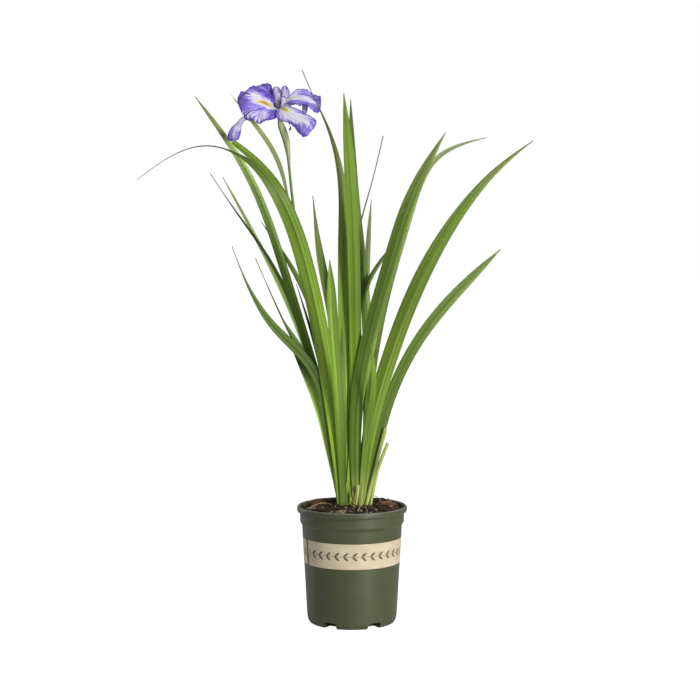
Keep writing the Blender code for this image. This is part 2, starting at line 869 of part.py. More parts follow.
def make_rod(name, line, radii, steps, sides, tone):
    """A round stem along a line, as thick at each of its points as radii says."""
    share, middle = curve_through(line, steps)
    radius = np.interp(share, np.linspace(0, 1, len(radii)), radii)
    along = np.gradient(middle, axis=0)
    along /= np.linalg.norm(along, axis=1)[:, None]
    first = np.cross(along, (0.0, 1.0, 0.0))
    first /= np.linalg.norm(first, axis=1)[:, None]
    second = np.cross(along, first)
    points, faces = [], [tuple(range(sides))]
    for step in range(steps + 1):
        for side in range(sides):
            angle = 2 * pi * side / sides
            spoke = cos(angle) * first[step] + sin(angle) * second[step]
            points.append(middle[step] + radius[step] * spoke)
    for step in range(steps):
        for side in range(sides):
            beyond = (side + 1) % sides
            low, high = step * sides, (step + 1) * sides
            faces.append((low + side, low + beyond, high + beyond, high + side))
    faces.append(tuple(steps * sides + side for side in range(sides)))
    if line[0][2] < SOIL_CROWN + 1:
        for point in points[:sides]:
            point[2] = line[0][2]
    place(name, mesh_of(name, points, faces), tone)


def make_petal(name, petal):
    """A petal: a sheet through its rows, waved at its rims, with the thickness of a petal."""
    columns = [curve_through([row[column] for row in petal.rows], petal.steps)[1] for column in range(3)]
    along = np.gradient(columns[1], axis=0)
    points = []
    for step in range(petal.steps + 1):
        across, sheet = curve_through([column[step] for column in columns], petal.columns)
        face_way = np.cross(columns[2][step] - columns[0][step], along[step])
        face_way /= np.linalg.norm(face_way)
        rim = np.abs(2 * across - 1) ** 2
        phase = 2 * pi * petal.waves * step / petal.steps + pi * (across > 0.5)
        wave = petal.ruffle * rim * np.sin(phase) * smooth_step(2 * step / petal.steps)
        points += list(np.add(HEART, sheet + wave[:, None] * face_way))
    faces = []
    stride = petal.columns + 1
    for step in range(petal.steps):
        for column in range(petal.columns):
            corner = step * stride + column
            faces.append((corner, corner + 1, corner + stride + 1, corner + stride))
    piece = place(name, mesh_of(name, points, faces), petal.tone)
    solid = piece.modifiers.new("thickness", "SOLIDIFY")
    solid.thickness = PETAL_THICKNESS * METRES
    solid.offset = 0


def make_flower_stem():
    """The flower stem, its leaf, the spathe valves and the flower's tube."""
    make_rod("flower_stem", STEM_LINE, (STEM_RADIUS, STEM_RADIUS * 0.8), STEM_STEPS, TUBE_SIDES, "leaf_mid")
    make_blade("stem_leaf", STEM_LEAF, FEWEST_STEPS, (BRACT_THICKNESS, MIDRIB_TIP))
    for name, valve in SPATHE_VALVES.items():
        make_blade(name, valve, FEWEST_STEPS, (BRACT_THICKNESS, MIDRIB_TIP))
    make_rod("flower_tube", TUBE_LINE, TUBE_RADII, 8, TUBE_SIDES, "leaf_pale")


def make_flower():
    """The petals and the stamen round the heart."""
    for name, petal in PETALS.items():
        make_petal(name, petal)
    thread = [np.add(HEART, point) for point in STAMEN_LINE]
    make_rod("stamen", thread, (STAMEN_RADIUS, STAMEN_RADIUS), 6, 5, "stamen_grey")


for old in list(bpy.data.objects):
    bpy.data.objects.remove(old)

make_pot()
make_band()
make_soil()
for leaf_name, leaf_shape in LEAVES.items():
    make_blade(leaf_name, leaf_shape, steps_along(leaf_shape))
for stub_name, stub_shape in STUBS.items():
    make_blade(stub_name, stub_shape, STUB_STEPS)
make_flower_stem()
make_flower()
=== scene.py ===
"""The looks of a potted Japanese iris in flower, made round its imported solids.

Every length below is in millimetres and every angle in degrees. The meshes are made in metres.
+Z is up, the front faces -Y, and the origin is the middle of the pot's foot.
"""

import json
from itertools import chain, combinations
from math import cos, pi, radians, sin
from typing import NamedTuple

import bmesh
import bpy
import numpy as np
from mathutils import Matrix, Vector, noise


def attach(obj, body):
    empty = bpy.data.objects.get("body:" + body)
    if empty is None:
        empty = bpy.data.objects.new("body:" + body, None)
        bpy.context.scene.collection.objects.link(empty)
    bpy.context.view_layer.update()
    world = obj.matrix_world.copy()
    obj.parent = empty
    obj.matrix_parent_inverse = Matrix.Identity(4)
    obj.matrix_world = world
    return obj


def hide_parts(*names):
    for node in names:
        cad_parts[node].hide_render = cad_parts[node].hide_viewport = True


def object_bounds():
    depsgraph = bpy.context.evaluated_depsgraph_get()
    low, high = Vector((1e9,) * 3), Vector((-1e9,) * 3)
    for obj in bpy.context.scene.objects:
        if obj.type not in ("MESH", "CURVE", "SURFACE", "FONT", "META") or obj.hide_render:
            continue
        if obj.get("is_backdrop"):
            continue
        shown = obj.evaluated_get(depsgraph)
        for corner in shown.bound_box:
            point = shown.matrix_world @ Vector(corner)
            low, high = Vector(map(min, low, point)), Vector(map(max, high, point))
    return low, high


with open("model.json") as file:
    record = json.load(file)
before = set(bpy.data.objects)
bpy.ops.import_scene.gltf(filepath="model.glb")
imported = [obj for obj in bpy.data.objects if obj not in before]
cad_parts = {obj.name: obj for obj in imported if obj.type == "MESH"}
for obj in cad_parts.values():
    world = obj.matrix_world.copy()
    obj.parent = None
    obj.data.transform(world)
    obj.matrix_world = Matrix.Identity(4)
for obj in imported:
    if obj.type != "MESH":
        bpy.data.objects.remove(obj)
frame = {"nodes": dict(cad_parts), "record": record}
cad_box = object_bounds()

# Pot: a blow-moulded nursery pot of olive green plastic, satin outside, with a rolled lip,
# a stepped collar, a tapered wall and six drainage notches in its heel. A slot at the back
# of each notch lets the water out.
METRES = 0.001
POT_SIDES = 168
ARC_STEPS = 6
POT_HEIGHT = 175.0
LIP_RADIUS = 82.5
LIP_BOTTOM = 166.0
COLLAR_RADIUS = 78.0
COLLAR_BOTTOM = 150.7
SHOULDER_RADIUS = 75.0
SHOULDER_BOTTOM = 147.0
HEEL_RADIUS = 67.6
HEEL_HEIGHT = 15.0
FOOT_RADIUS = 62.8
POT_WALL = 1.8
POT_FLOOR = 2.5
NOTCHES = 6
NOTCH_WIDTH = 21.0
NOTCH_HEIGHT = 9.0
NOTCH_DEPTH_RADIUS = 47.0
CUT_BELOW = 2.0
SLOT_WIDTH = 10.0
SLOT_BOTTOM = 3.6
SLOT_TOP = 7.6
SLOT_RADIUS = NOTCH_DEPTH_RADIUS - 3 * POT_WALL
BAND_BOTTOM = 91.0
BAND_TOP = 128.6
BAND_SEAT = 0.5
BAND_ROOM = 0.3


def wall_radius(height):
    """Outer radius of the pot's tapered wall at this height."""
    rise = (height - HEEL_HEIGHT) / (SHOULDER_BOTTOM - HEEL_HEIGHT)
    return HEEL_RADIUS + (SHOULDER_RADIUS - HEEL_RADIUS) * rise


def rounded(corners):
    """An outline of (radius, height, how far from the corner its rounding starts)."""
    points = []
    for index, (radius, height, reach) in enumerate(corners):
        corner = np.array((radius, height), float)
        if not reach:
            points.append(corner)
            continue
        ends = []
        for neighbour in (corners[index - 1], corners[index + 1]):
            way = np.array(neighbour[:2]) - corner
            ends.append(corner + way * min(reach / np.linalg.norm(way), 0.5))
        for share in np.linspace(0, 1, ARC_STEPS + 1):
            start_part, end_part = (1 - share) ** 2, share**2
            middle_part = 1 - start_part - end_part
            points.append(start_part * ends[0] + middle_part * corner + end_part * ends[1])
    return points


def as_mesh(name, shape, scale=METRES, turn_outwards=True):
    """The finished shape as a mesh in metres."""
    bmesh.ops.scale(shape, vec=(scale,) * 3, verts=shape.verts)
    if turn_outwards:
        bmesh.ops.recalc_face_normals(shape, faces=shape.faces)
    mesh = bpy.data.meshes.new(name)
    shape.to_mesh(mesh)
    shape.free()
    return mesh


def turned(name, outline):
    """A solid turned about Z from an outline that starts and ends on the axis."""
    shape = bmesh.new()
    corners = [shape.verts.new((radius * METRES, 0, height * METRES)) for radius, height in outline]
    edges = [shape.edges.new(pair) for pair in zip(corners, corners[1:])]
    turn = {"cent": (0, 0, 0), "axis": (0, 0, 1), "angle": 2 * pi, "steps": POT_SIDES, "use_merge": True}
    bmesh.ops.spin(shape, geom=corners + edges, **turn)
    bmesh.ops.remove_doubles(shape, verts=shape.verts, dist=1e-6)
    return as_mesh(name, shape, 1)


def boxes_in_the_heel(name, width, inner, bottom, top):
    """One box for each drainage notch, from this radius outwards, all in one mesh."""
    shape = bmesh.new()
    for index in range(NOTCHES):
        middle = (2 * index + 1) * pi / NOTCHES - pi / 2
        box = Matrix.Rotation(middle, 4, "Z")
        box @= Matrix.Translation(Vector(((inner + LIP_RADIUS) / 2, 0, (bottom + top) / 2)) * METRES)
        box @= Matrix.Diagonal((*Vector((LIP_RADIUS - inner, width, top - bottom)) * METRES, 1))
        bmesh.ops.create_cube(shape, size=1, matrix=box)
    return as_mesh(name, shape, 1, turn_outwards=False)


def taken_out(body, *tools):
    """The first mesh with the space of the others cut out of it, one after another."""
    for tool in tools:
        worked = bpy.data.objects.new("worked", body)
        knife = bpy.data.objects.new("knife", tool)
        for part in (worked, knife):
            bpy.context.scene.collection.objects.link(part)
        cut = worked.modifiers.new("cut", "BOOLEAN")
        cut.operation = "DIFFERENCE"
        cut.object = knife
        bpy.context.view_layer.update()
        cut_body = worked.evaluated_get(bpy.context.evaluated_depsgraph_get())
        body = bpy.data.meshes.new_from_object(cut_body)
        for part in (worked, knife):
            bpy.data.objects.remove(part)
    return body


def colour(red, green, blue):
    """A colour as a paint chart gives it, 0 to 255, in the linear values that Blender mixes."""
    parts = np.array((red, green, blue)) / 255
    linear = np.where(parts <= 0.04045, parts / 12.92, ((parts + 0.055) / 1.055) ** 2.4)
    return (*linear.tolist(), 1.0)


def add(tree, kind, feeds, **settings):
    """A new node of this kind. Each socket that feeds names takes a value or another socket."""
    made = tree.nodes.new("ShaderNode" + kind)
    for setting, value in settings.items():
        setattr(made, setting, value)
    for socket, source in feeds.items():
        source = getattr(source, "socket", source)
        if isinstance(source, bpy.types.NodeSocket):
            tree.links.new(source, made.inputs[socket])
        else:
            made.inputs[socket].default_value = source
    return made


class Varying:
    """What differs from point to point of a surface. A sum or product with it makes a node."""

    def __init__(self, socket):
        self.socket = socket
        self.tree = socket.id_data

    def __add__(self, other):
        return calc(self.tree, "ADD", self, other)

    def __sub__(self, other):
        return calc(self.tree, "SUBTRACT", self, other)

    def __rsub__(self, other):
        return calc(self.tree, "SUBTRACT", other, self)

    def __mul__(self, other):
        return calc(self.tree, "MULTIPLY", self, other)

    def __truediv__(self, other):
        return calc(self.tree, "DIVIDE", self, other)


def calc(tree, operation, *terms, clamp=False):
    """What this operation makes of these values."""
    made = add(tree, "Math", dict(enumerate(terms)), operation=operation, use_clamp=clamp)
    return Varying(made.outputs[0])


def three_parts(tree, vector):
    """The three numbers that a place, a size or a mark holds."""
    return [Varying(part) for part in add(tree, "SeparateXYZ", {0: vector}).outputs]


def lead(source, socket):
    """Leads a colour or a value to a socket."""
    socket.id_data.links.new(getattr(source, "socket", source), socket)


def ease(tree, value, start, end, low=0.0, high=1.0):
    """Goes smoothly from low to high as the value goes from start to end."""
    feeds = {"Value": value, "From Min": start, "From Max": end, "To Min": low, "To Max": high}
    return Varying(add(tree, "MapRange", feeds, interpolation_type="SMOOTHSTEP").outputs[0])


def paint(tree, share, under, over):
    """One colour painted over another, by this share."""
    return add(tree, "Mix", {0: share, 6: under, 7: over}, data_type="RGBA").outputs[2]


def speckle(tree, place, scale, detail=2.0, roughness=0.5):
    """Soft random spots of this many to the place's unit."""
    feeds = {"Vector": place, "Scale": scale, "Detail": detail, "Roughness": roughness}
    return Varying(add(tree, "TexNoise", feeds).outputs[0])


def stretched(tree, place, x, y, z):
    """A place with each of its directions multiplied."""
    return add(tree, "VectorMath", {0: place, 1: (x, y, z)}, operation="MULTIPLY").outputs[0]


def new_finish(name, sockets):
    """A new material, its nodes and its shader, which is given what is the same all over."""
    made = bpy.data.materials.new(name)
    made.use_nodes = True
    shader = made.node_tree.nodes["Principled BSDF"]
    for socket, value in sockets.items():
        shader.inputs[socket].default_value = value
    return made, made.node_tree, shader


def place_on(tree):
    """Where each point of the surface is, in metres."""
    return add(tree, "TexCoord", {}).outputs["Object"]


def bump(tree, shader, height, depth):
    """Raises the surface by this many millimetres where the height is 1."""
    relief = add(tree, "Bump", {"Height": height, "Distance": depth * METRES, "Strength": 1.0})
    lead(relief.outputs[0], shader.inputs["Normal"])


def set_in_place(name, mesh, finish, slot, stands_for=None, crease=35):
    """The piece of this mesh, smooth but for its sharp edges, in its finish and on the plant."""
    mesh.materials.clear()
    mesh.materials.append(finish)
    mesh.shade_smooth()
    mesh.set_sharp_from_angle(angle=radians(crease))
    piece = bpy.data.objects.new(name, mesh)
    bpy.context.scene.collection.objects.link(piece)
    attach(piece, "root")
    if stands_for:
        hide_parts(stands_for)


def pot_finish():
    """Olive green plastic with a fine moulded grain and a little dust in it, and a lip that is paler in
    patches: partly scuffs, partly a painted reflection.
    """
    made, tree, shader = new_finish("olive_plastic", {"Roughness": 0.45, "Specular IOR Level": 0.5})
    place = place_on(tree)
    cloud = speckle(tree, place, 14.0, 3.0)
    flow = speckle(tree, stretched(tree, place, 260.0, 260.0, 26.0), 1.0, 2.0)
    plastic = paint(tree, ease(tree, cloud, 0.35, 0.7), colour(60, 66, 34), colour(65, 71, 39))
    plastic = paint(tree, ease(tree, flow, 0.5, 0.8, 0.0, 0.2), plastic, colour(78, 82, 52))
    height = three_parts(tree, place)[2]
    near_ground = ease(tree, height, 0.03, 0.0, 0.0, 0.35)
    dusty = near_ground * ease(tree, speckle(tree, place, 160.0, 4.0), 0.45, 0.65)
    plastic = paint(tree, dusty, plastic, colour(96, 94, 76))
    # Painted reflection: the top of the lip is painted paler in patches. Part of it is scuffs in the
    # plastic and part is the white room reflected on its rounded edge.
    on_the_lip = ease(tree, height, (POT_HEIGHT - 2.2) * METRES, (POT_HEIGHT - 0.4) * METRES)
    scuffs_and_painted_sheen = on_the_lip * ease(tree, speckle(tree, place, 90.0, 3.0), 0.3, 0.6, 0.25, 0.8)
    plastic = paint(tree, scuffs_and_painted_sheen, plastic, colour(126, 124, 112))
    lead(plastic, shader.inputs["Base Color"])
    satin = ease(tree, speckle(tree, place, 55.0, 4.0), 0.3, 0.7, 0.41, 0.49)
    lead(satin + dusty * 0.5, shader.inputs["Roughness"])
    grain = speckle(tree, place, 1500.0, 1.0) + flow * 0.3
    bump(tree, shader, grain, 0.02)
    return made


def make_pot():
    """The pot: a turned body, hollowed out, with its notches and slots cut in the heel."""
    seat_low, seat_high = BAND_BOTTOM - BAND_ROOM, BAND_TOP + BAND_ROOM
    low_radius, high_radius = wall_radius(seat_low), wall_radius(seat_high)
    outside = rounded(
        (
            (0, 0, 0),
            (FOOT_RADIUS + 0.8, 0, 1.2),
            (FOOT_RADIUS + 4.1, 5.5, 3),
            (HEEL_RADIUS, HEEL_HEIGHT, 4),
            (low_radius, seat_low, 0.2),
            (low_radius - BAND_SEAT, seat_low, 0),
            (high_radius - BAND_SEAT, seat_high, 0),
            (high_radius, seat_high, 0.2),
            (SHOULDER_RADIUS, SHOULDER_BOTTOM, 1.2),
            (COLLAR_RADIUS, COLLAR_BOTTOM, 1.6),
            (COLLAR_RADIUS, LIP_BOTTOM, 0.8),
            (LIP_RADIUS - 0.3, LIP_BOTTOM, 2.2),
            (LIP_RADIUS, POT_HEIGHT, 3.4),
            (0, POT_HEIGHT, 0),
        )
    )
    inside = (
        (0, POT_FLOOR, 0),
        (FOOT_RADIUS - 1.5, POT_FLOOR, 1.5),
        (FOOT_RADIUS + 1.2, 6, 2),
        (HEEL_RADIUS - POT_WALL, HEEL_HEIGHT, 4),
        (SHOULDER_RADIUS - POT_WALL, SHOULDER_BOTTOM + 0.6, 1.2),
        (COLLAR_RADIUS - POT_WALL, COLLAR_BOTTOM + 0.8, 1.6),
        (COLLAR_RADIUS - POT_WALL, LIP_BOTTOM, 3),
        (COLLAR_RADIUS - 0.6, POT_HEIGHT - 1.6, 1.2),
        (COLLAR_RADIUS + 1.6, POT_HEIGHT + 0.2, 0.8),
        (COLLAR_RADIUS + 4, POT_HEIGHT + 5, 0),
        (0, POT_HEIGHT + 5, 0),
    )
    wide, deep, high = NOTCH_WIDTH + 2 * POT_WALL, NOTCH_DEPTH_RADIUS - POT_WALL, NOTCH_HEIGHT + POT_WALL
    skins = boxes_in_the_heel("notch_skins", wide, deep, -CUT_BELOW, high)
    hollow = taken_out(turned("pot_hollow", rounded(inside)), skins)
    notches = boxes_in_the_heel("notches", NOTCH_WIDTH, NOTCH_DEPTH_RADIUS, -CUT_BELOW, NOTCH_HEIGHT)
    slots = boxes_in_the_heel("slots", SLOT_WIDTH, SLOT_RADIUS, SLOT_BOTTOM, SLOT_TOP)
    shell = taken_out(turned("pot_shell", outside), hollow, notches, slots)
    set_in_place("pot_shell", shell, pot_finish(), "pot_green", "pot")


make_pot()

# Label band: one strip of tan paper wrapped round the pot, its end glued over its start at
# the back. It is printed in brown with a vertical rule and a plain garland of leaves.
BAND_MIDDLE = (BAND_BOTTOM + BAND_TOP) / 2
BAND_PAPER = 0.2
BAND_GLUE = 0.03
BAND_PROUD = 0.15
BAND_OVERLAP = 9.0
BAND_START = 100.0
BAND_STEP = 1.5
RULE_ANGLE = -64.0
RULE_HEIGHT = 110.0
GARLAND_PERIODS = 34
GARLAND_START = 0.3
# Length, width and lean of each printed leaf
GARLAND_LEAF = (10.2, 3.6, 38)


def skin_over(shape, rings):
    """Faces from each ring of corners to the next, and over both ends."""
    for before, after in zip(rings, rings[1:]):
        for corner in range(len(before)):
            beyond = (corner + 1) % len(before)
            shape.faces.new((before[corner], before[beyond], after[beyond], after[corner]))
    shape.faces.new(rings[0][::-1])
    shape.faces.new(rings[-1])


def make_band():
    """The strip of paper, a closed solid that runs once round the wall and over its own start."""
    middle_radius = wall_radius(BAND_MIDDLE)
    overlap = BAND_OVERLAP / middle_radius
    angles = np.arange(0, 2 * pi + overlap, BAND_STEP / middle_radius)
    climb = 0.6 * overlap
    lift = (BAND_PAPER + BAND_GLUE) * np.clip((angles - 2 * pi + climb) / climb, 0, 1)
    shape = bmesh.new()
    rings = []
    for angle, rise in zip(angles + radians(BAND_START), lift):
        ring = []
        for height, side in ((BAND_BOTTOM, 0), (BAND_TOP, 0), (BAND_TOP, 1), (BAND_BOTTOM, 1)):
            radius = wall_radius(height) + BAND_PROUD + rise - BAND_PAPER * (1 - side)
            ring.append(shape.verts.new((radius * cos(angle), radius * sin(angle), height)))
        rings.append(ring)
    skin_over(shape, rings)
    return as_mesh("paper_band", shape)


def leaf_print(tree, along, across, start, length, width, tilt):
    """Ink inside one printed leaf: pointed at both ends, it starts here and leans by tilt."""
    x = along - start
    turn_x, turn_y = cos(radians(tilt)), sin(radians(tilt))
    down = x * turn_x + across * turn_y
    side = across * turn_x - x * turn_y
    share = down / length
    room = share * (1.0 - share) * (2 * width)
    return ease(tree, room - calc(tree, "ABSOLUTE", side), -0.1, 0.15)


def band_finish():
    """Tan paper with fibres in it, and the brown print."""
    made, tree, shader = new_finish("tan_paper", {"Roughness": 0.62, "Specular IOR Level": 0.35})
    place = place_on(tree)
    x, y, z = three_parts(tree, place)
    fibres = speckle(tree, stretched(tree, place, 1.0, 1.0, 3.2), 520.0, 3.0)
    mottle = speckle(tree, place, 60.0, 3.0)
    paper = paint(tree, ease(tree, mottle, 0.35, 0.65), colour(194, 179, 152), colour(202, 188, 162))
    paper = paint(tree, ease(tree, fibres, 0.5, 0.75, 0.0, 0.35), paper, colour(164, 149, 122))
    angle = calc(tree, "ARCTAN2", x, y * -1.0)
    up = (z - BAND_MIDDLE * METRES) * (1 / METRES)
    period = 2 * pi * wall_radius(BAND_MIDDLE) / GARLAND_PERIODS
    turn = (angle + pi) * (GARLAND_PERIODS / (2 * pi))
    along = calc(tree, "FRACT", turn) * period
    across = calc(tree, "ABSOLUTE", up)
    ink = ease(tree, across, 0.42, 0.2)
    for start in (GARLAND_START, GARLAND_START - period):
        leaf = leaf_print(tree, along, across, start, *GARLAND_LEAF)
        ink = calc(tree, "MAXIMUM", ink, leaf)
    rule_off = (angle - radians(RULE_ANGLE)) * wall_radius(RULE_HEIGHT)
    rule_gap = ease(tree, calc(tree, "ABSOLUTE", rule_off), 5.2, 5.6)
    rule = ease(tree, calc(tree, "ABSOLUTE", rule_off), 3.1, 2.8)
    ink = calc(tree, "MAXIMUM", ink * rule_gap, rule)
    worn = ink * ease(tree, fibres, 0.2, 0.5, 0.72, 0.94)
    lead(paint(tree, worn, paper, colour(84, 70, 50)), shader.inputs["Base Color"])
    bump(tree, shader, fibres, 0.03)
    return made


set_in_place("paper_band", make_band(), band_finish(), "band_tan", "label_band")

# Soil: dark bark mix that fills the pot, packed round the roots and heaped at the crown.
# Its top is a loose crumb of humus, with bark chips and pale root ends lying on it.
SOIL_EDGE = 168.0
SOIL_CROWN = 172.6
CROWN_CENTRE = (3.0, 30.0)
CROWN_RADIUS = 38.0
HEAP_RADIUS = 62.0
CLUMP_HALF_WIDTH = 26
CLUMP_FRONT = 2
CLUMP_BACK = 58
SOIL_ROOM = 0.4
SOIL_RIM = COLLAR_RADIUS - POT_WALL - SOIL_ROOM
SOIL_RINGS = 62
SOIL_SIDES = 240
CORE_RADIUS = NOTCH_DEPTH_RADIUS - 2 * POT_WALL
CORE_TOP = NOTCH_HEIGHT + 2 * POT_WALL
CHIPS = 520
CRUMBS = 1500
BARK_TINTS = {
    0.0: (28, 29, 17),
    0.4: (62, 54, 34),
    0.68: (106, 67, 47),
    0.85: (134, 120, 86),
    1.0: (178, 164, 124),
}
random_soil = np.random.default_rng(4)
# Place, length, width, height, turn, tilt and tint of each large piece
LARGE_BARK = (
    (-50, 44, 19, 11, 8, 12, 10, 0.7),
    (-38, 52, 15, 10, 7, -30, -12, 0.66),
    (-58, 26, 13, 8, 6, 60, 8, 0.62),
    (-33, 36, 12, 8, 6, 15, 14, 0.55),
    (-60, -6, 17, 7, 5, 8, -10, 0.88),
    (-48, -22, 14, 9, 6, -20, 12, 0.5),
    (-34, -38, 13, 9, 6, 30, 10, 0.3),
    (-17, -46, 15, 8, 6, -14, -16, 0.9),
    (-3, -54, 12, 9, 6, 50, 8, 0.25),
    (12, -52, 14, 10, 6, -8, 6, 0.12),
    (30, -44, 15, 10, 7, 24, -10, 0.15),
    (46, -26, 16, 9, 6, -35, 12, 0.4),
    (55, 6, 26, 10, 7, -6, -14, 0.72),
    (62, -10, 14, 7, 5, 20, 10, 0.6),
    (40, -8, 13, 9, 7, 70, 8, 0.2),
    (36, 34, 17, 12, 10, 10, 12, 0.1),
    (46, 48, 14, 10, 8, -24, 10, 0.18),
    (-24, 2, 9, 7, 5, 40, 0, 0.2),
    (20, -30, 11, 8, 6, -50, 14, 0.1),
    (60, 32, 12, 8, 5, 45, 8, 0.35),
    (0, 66, 16, 10, 6, 5, 0, 0.3),
    (25, 63, 13, 9, 6, -15, 0, 0.5),
    (-20, 66, 14, 9, 6, 25, 0, 0.25),
)


def smooth_step(share):
    """Rises smoothly from 0 to 1 as share does."""
    share = np.clip(share, 0, 1)
    return share * share * (3 - 2 * share)


def soil_height(x, y):
    """Height of the loose top of the soil."""
    from_crown = max(0.0, Vector((x - CROWN_CENTRE[0], y - CROWN_CENTRE[1])).length - CROWN_RADIUS)
    level = SOIL_CROWN + (SOIL_EDGE - SOIL_CROWN) * smooth_step(from_crown / HEAP_RADIUS)
    lumps = 1.5 * noise.noise(Vector((x, y, 0)) / 9) + 1.0 * noise.noise(Vector((x, y, 9)) / 3.4)
    return level + 0.4 + lumps + 0.5 * noise.noise(Vector((x, y, 20)) / 1.5)


def make_soil():
    """The root ball, which clears the pockets of the notches."""
    rings = [(SOIL_RIM * (ring + 1) / SOIL_RINGS, None) for ring in range(SOIL_RINGS)]
    shoulder = (SHOULDER_RADIUS - POT_WALL - SOIL_ROOM, SHOULDER_BOTTOM)
    heel = (HEEL_RADIUS - POT_WALL - SOIL_ROOM, HEEL_HEIGHT)
    rings += [(SOIL_RIM, COLLAR_BOTTOM + 1), shoulder, heel, (CORE_RADIUS, CORE_TOP)]
    rings += [(CORE_RADIUS, POT_FLOOR + SOIL_ROOM)]
    shape = bmesh.new()
    top = shape.verts.new((0, 0, soil_height(0, 0)))
    loops = []
    for radius, height in rings:
        loop = []
        for step in range(SOIL_SIDES):
            angle = 2 * pi * step / SOIL_SIDES
            x, y = radius * cos(angle), radius * sin(angle)
            loop.append(shape.verts.new((x, y, soil_height(x, y) if height is None else height)))
        loops.append(loop)
    for step in range(SOIL_SIDES):
        following = (step + 1) % SOIL_SIDES
        shape.faces.new((top, loops[0][step], loops[0][following]))
        for inner, outer in zip(loops, loops[1:]):
            shape.faces.new((inner[step], outer[step], outer[following], inner[following]))
    shape.faces.new(loops[-1][::-1])
    return as_mesh("bark_mix", shape, turn_outwards=False)


def in_the_open(x, y):
    """True where the soil isn't under the clump of leaves."""
    return abs(x - CROWN_CENTRE[0]) > CLUMP_HALF_WIDTH or not CLUMP_FRONT < y < CLUMP_BACK


def add_lump(shape, tint, spot, sizes, turns, shade, seed, rounds=1):
    """Adds one uneven closed lump of bark to the shape, with its tint stored on it."""
    tilt = Matrix.Rotation(turns[1], 4, "Y") @ Matrix.Rotation(turns[0], 4, "X")
    tilt = Matrix.Rotation(turns[2], 4, "Z") @ tilt
    for corner in bmesh.ops.create_icosphere(shape, subdivisions=rounds, radius=0.5)["verts"]:
        uneven = 1 + 0.3 * noise.noise(corner.co * 3.1 + Vector((seed * 3.7, 0, 0)))
        if rounds > 1:
            uneven += 0.18 * noise.noise(corner.co * 9 + Vector((0, seed * 3.7, 0)))
        corner.co = tilt @ Vector(a * b * uneven for a, b in zip(corner.co, sizes)) + Vector(spot)
        corner[tint] = shade


def scattered_chips(name, count, longest, shortest):
    """Split bits of bark, each an irregular closed lump, with a tint of its own stored on it."""
    shape = bmesh.new()
    tint = shape.verts.layers.float.new("tint")
    laid = 0
    while laid < count:
        x, y = random_soil.uniform(-SOIL_RIM, SOIL_RIM, 2)
        length = shortest + (longest - shortest) * random_soil.random() ** 2.4
        if Vector((x, y)).length + length / 2 > SOIL_RIM - 0.5 or not in_the_open(x, y):
            continue
        sizes = length * Vector((1, random_soil.uniform(0.3, 0.75), random_soil.uniform(0.14, 0.4)))
        turns = random_soil.normal(0, 0.35), random_soil.normal(0, 0.3), random_soil.uniform(0, 2 * pi)
        shade = random_soil.random() ** 1.7
        height = soil_height(x, y) + sizes[2] * random_soil.uniform(0.0, 0.3)
        add_lump(shape, tint, (x, y, height), sizes, turns, shade, laid)
        laid += 1
    return as_mesh(name, shape, turn_outwards=False)


def large_bark(name):
    """The few large pieces of bark and clods that lie on the mix, each in its own place."""
    shape = bmesh.new()
    tint = shape.verts.layers.float.new("tint")
    for seed, (x, y, length, width, height, turn, tilt, shade) in enumerate(LARGE_BARK):
        spot, sizes = (x, y, soil_height(x, y) + 0.25 * height), (length, width, height)
        add_lump(shape, tint, spot, sizes, (radians(tilt), 0, radians(turn)), shade, seed + 0.5, 3)
    return as_mesh(name, shape, turn_outwards=False)


def new_group(name, takes, gives):
    """A shader group with these inputs and outputs: its nodes, what it is given, its results."""
    tree = bpy.data.node_groups.new(name, "ShaderNodeTree")
    for way, sockets in (("INPUT", takes), ("OUTPUT", gives)):
        for socket, kind in sockets.items():
            tree.interface.new_socket(socket, in_out=way, socket_type="NodeSocket" + kind)
    given = tree.nodes.new("NodeGroupInput").outputs[: len(takes)]
    results = tree.nodes.new("NodeGroupOutput").inputs
    return tree, {socket.name: Varying(socket) for socket in given}, results


def crumbly():
    """Shader group: the crumb of potting mix, from its colours to a height for the relief."""
    takes = {"Place": "Vector", "Dark": "Color", "Light": "Color", "Crumb": "Float"}
    tree, given, results = new_group("crumbly", takes, {"Color": "Color", "Height": "Float"})
    place, dark, light, crumb = given.values()
    cells = add(tree, "TexVoronoi", {"Vector": place, "Scale": crumb, "Randomness": 1.0}).outputs
    pick = add(tree, "SeparateColor", {0: cells["Color"]}).outputs[0]
    dust = speckle(tree, place, crumb * 3.0, 3.0)
    dusty = ease(tree, dust, 0.45, 0.8, 0.0, 0.5)
    share = calc(tree, "ADD", calc(tree, "POWER", pick, 3.0), dusty, clamp=True)
    lead(paint(tree, share, dark, light), results["Color"])
    lead(dust - Varying(cells["Distance"]) * 0.8, results["Height"])
    return tree


def soil_finish(crumb_group):
    """Moist, nearly black humus with a brown crumb in it."""
    made, tree, shader = new_finish("moist_bark_mix", {"Roughness": 0.9, "Specular IOR Level": 0.3})
    place = place_on(tree)
    feeds = {"Place": place, "Dark": colour(20, 19, 12), "Light": colour(80, 71, 49), "Crumb": 420.0}
    crumb = add(tree, "Group", feeds, node_tree=crumb_group)
    lead(crumb.outputs["Color"], shader.inputs["Base Color"])
    bump(tree, shader, crumb.outputs["Height"], 0.6)
    return made


def stored(tree, mark, kind="Fac"):
    """What the mesh holds at each of its points under this name."""
    return Varying(add(tree, "Attribute", {}, attribute_name=mark).outputs[kind])


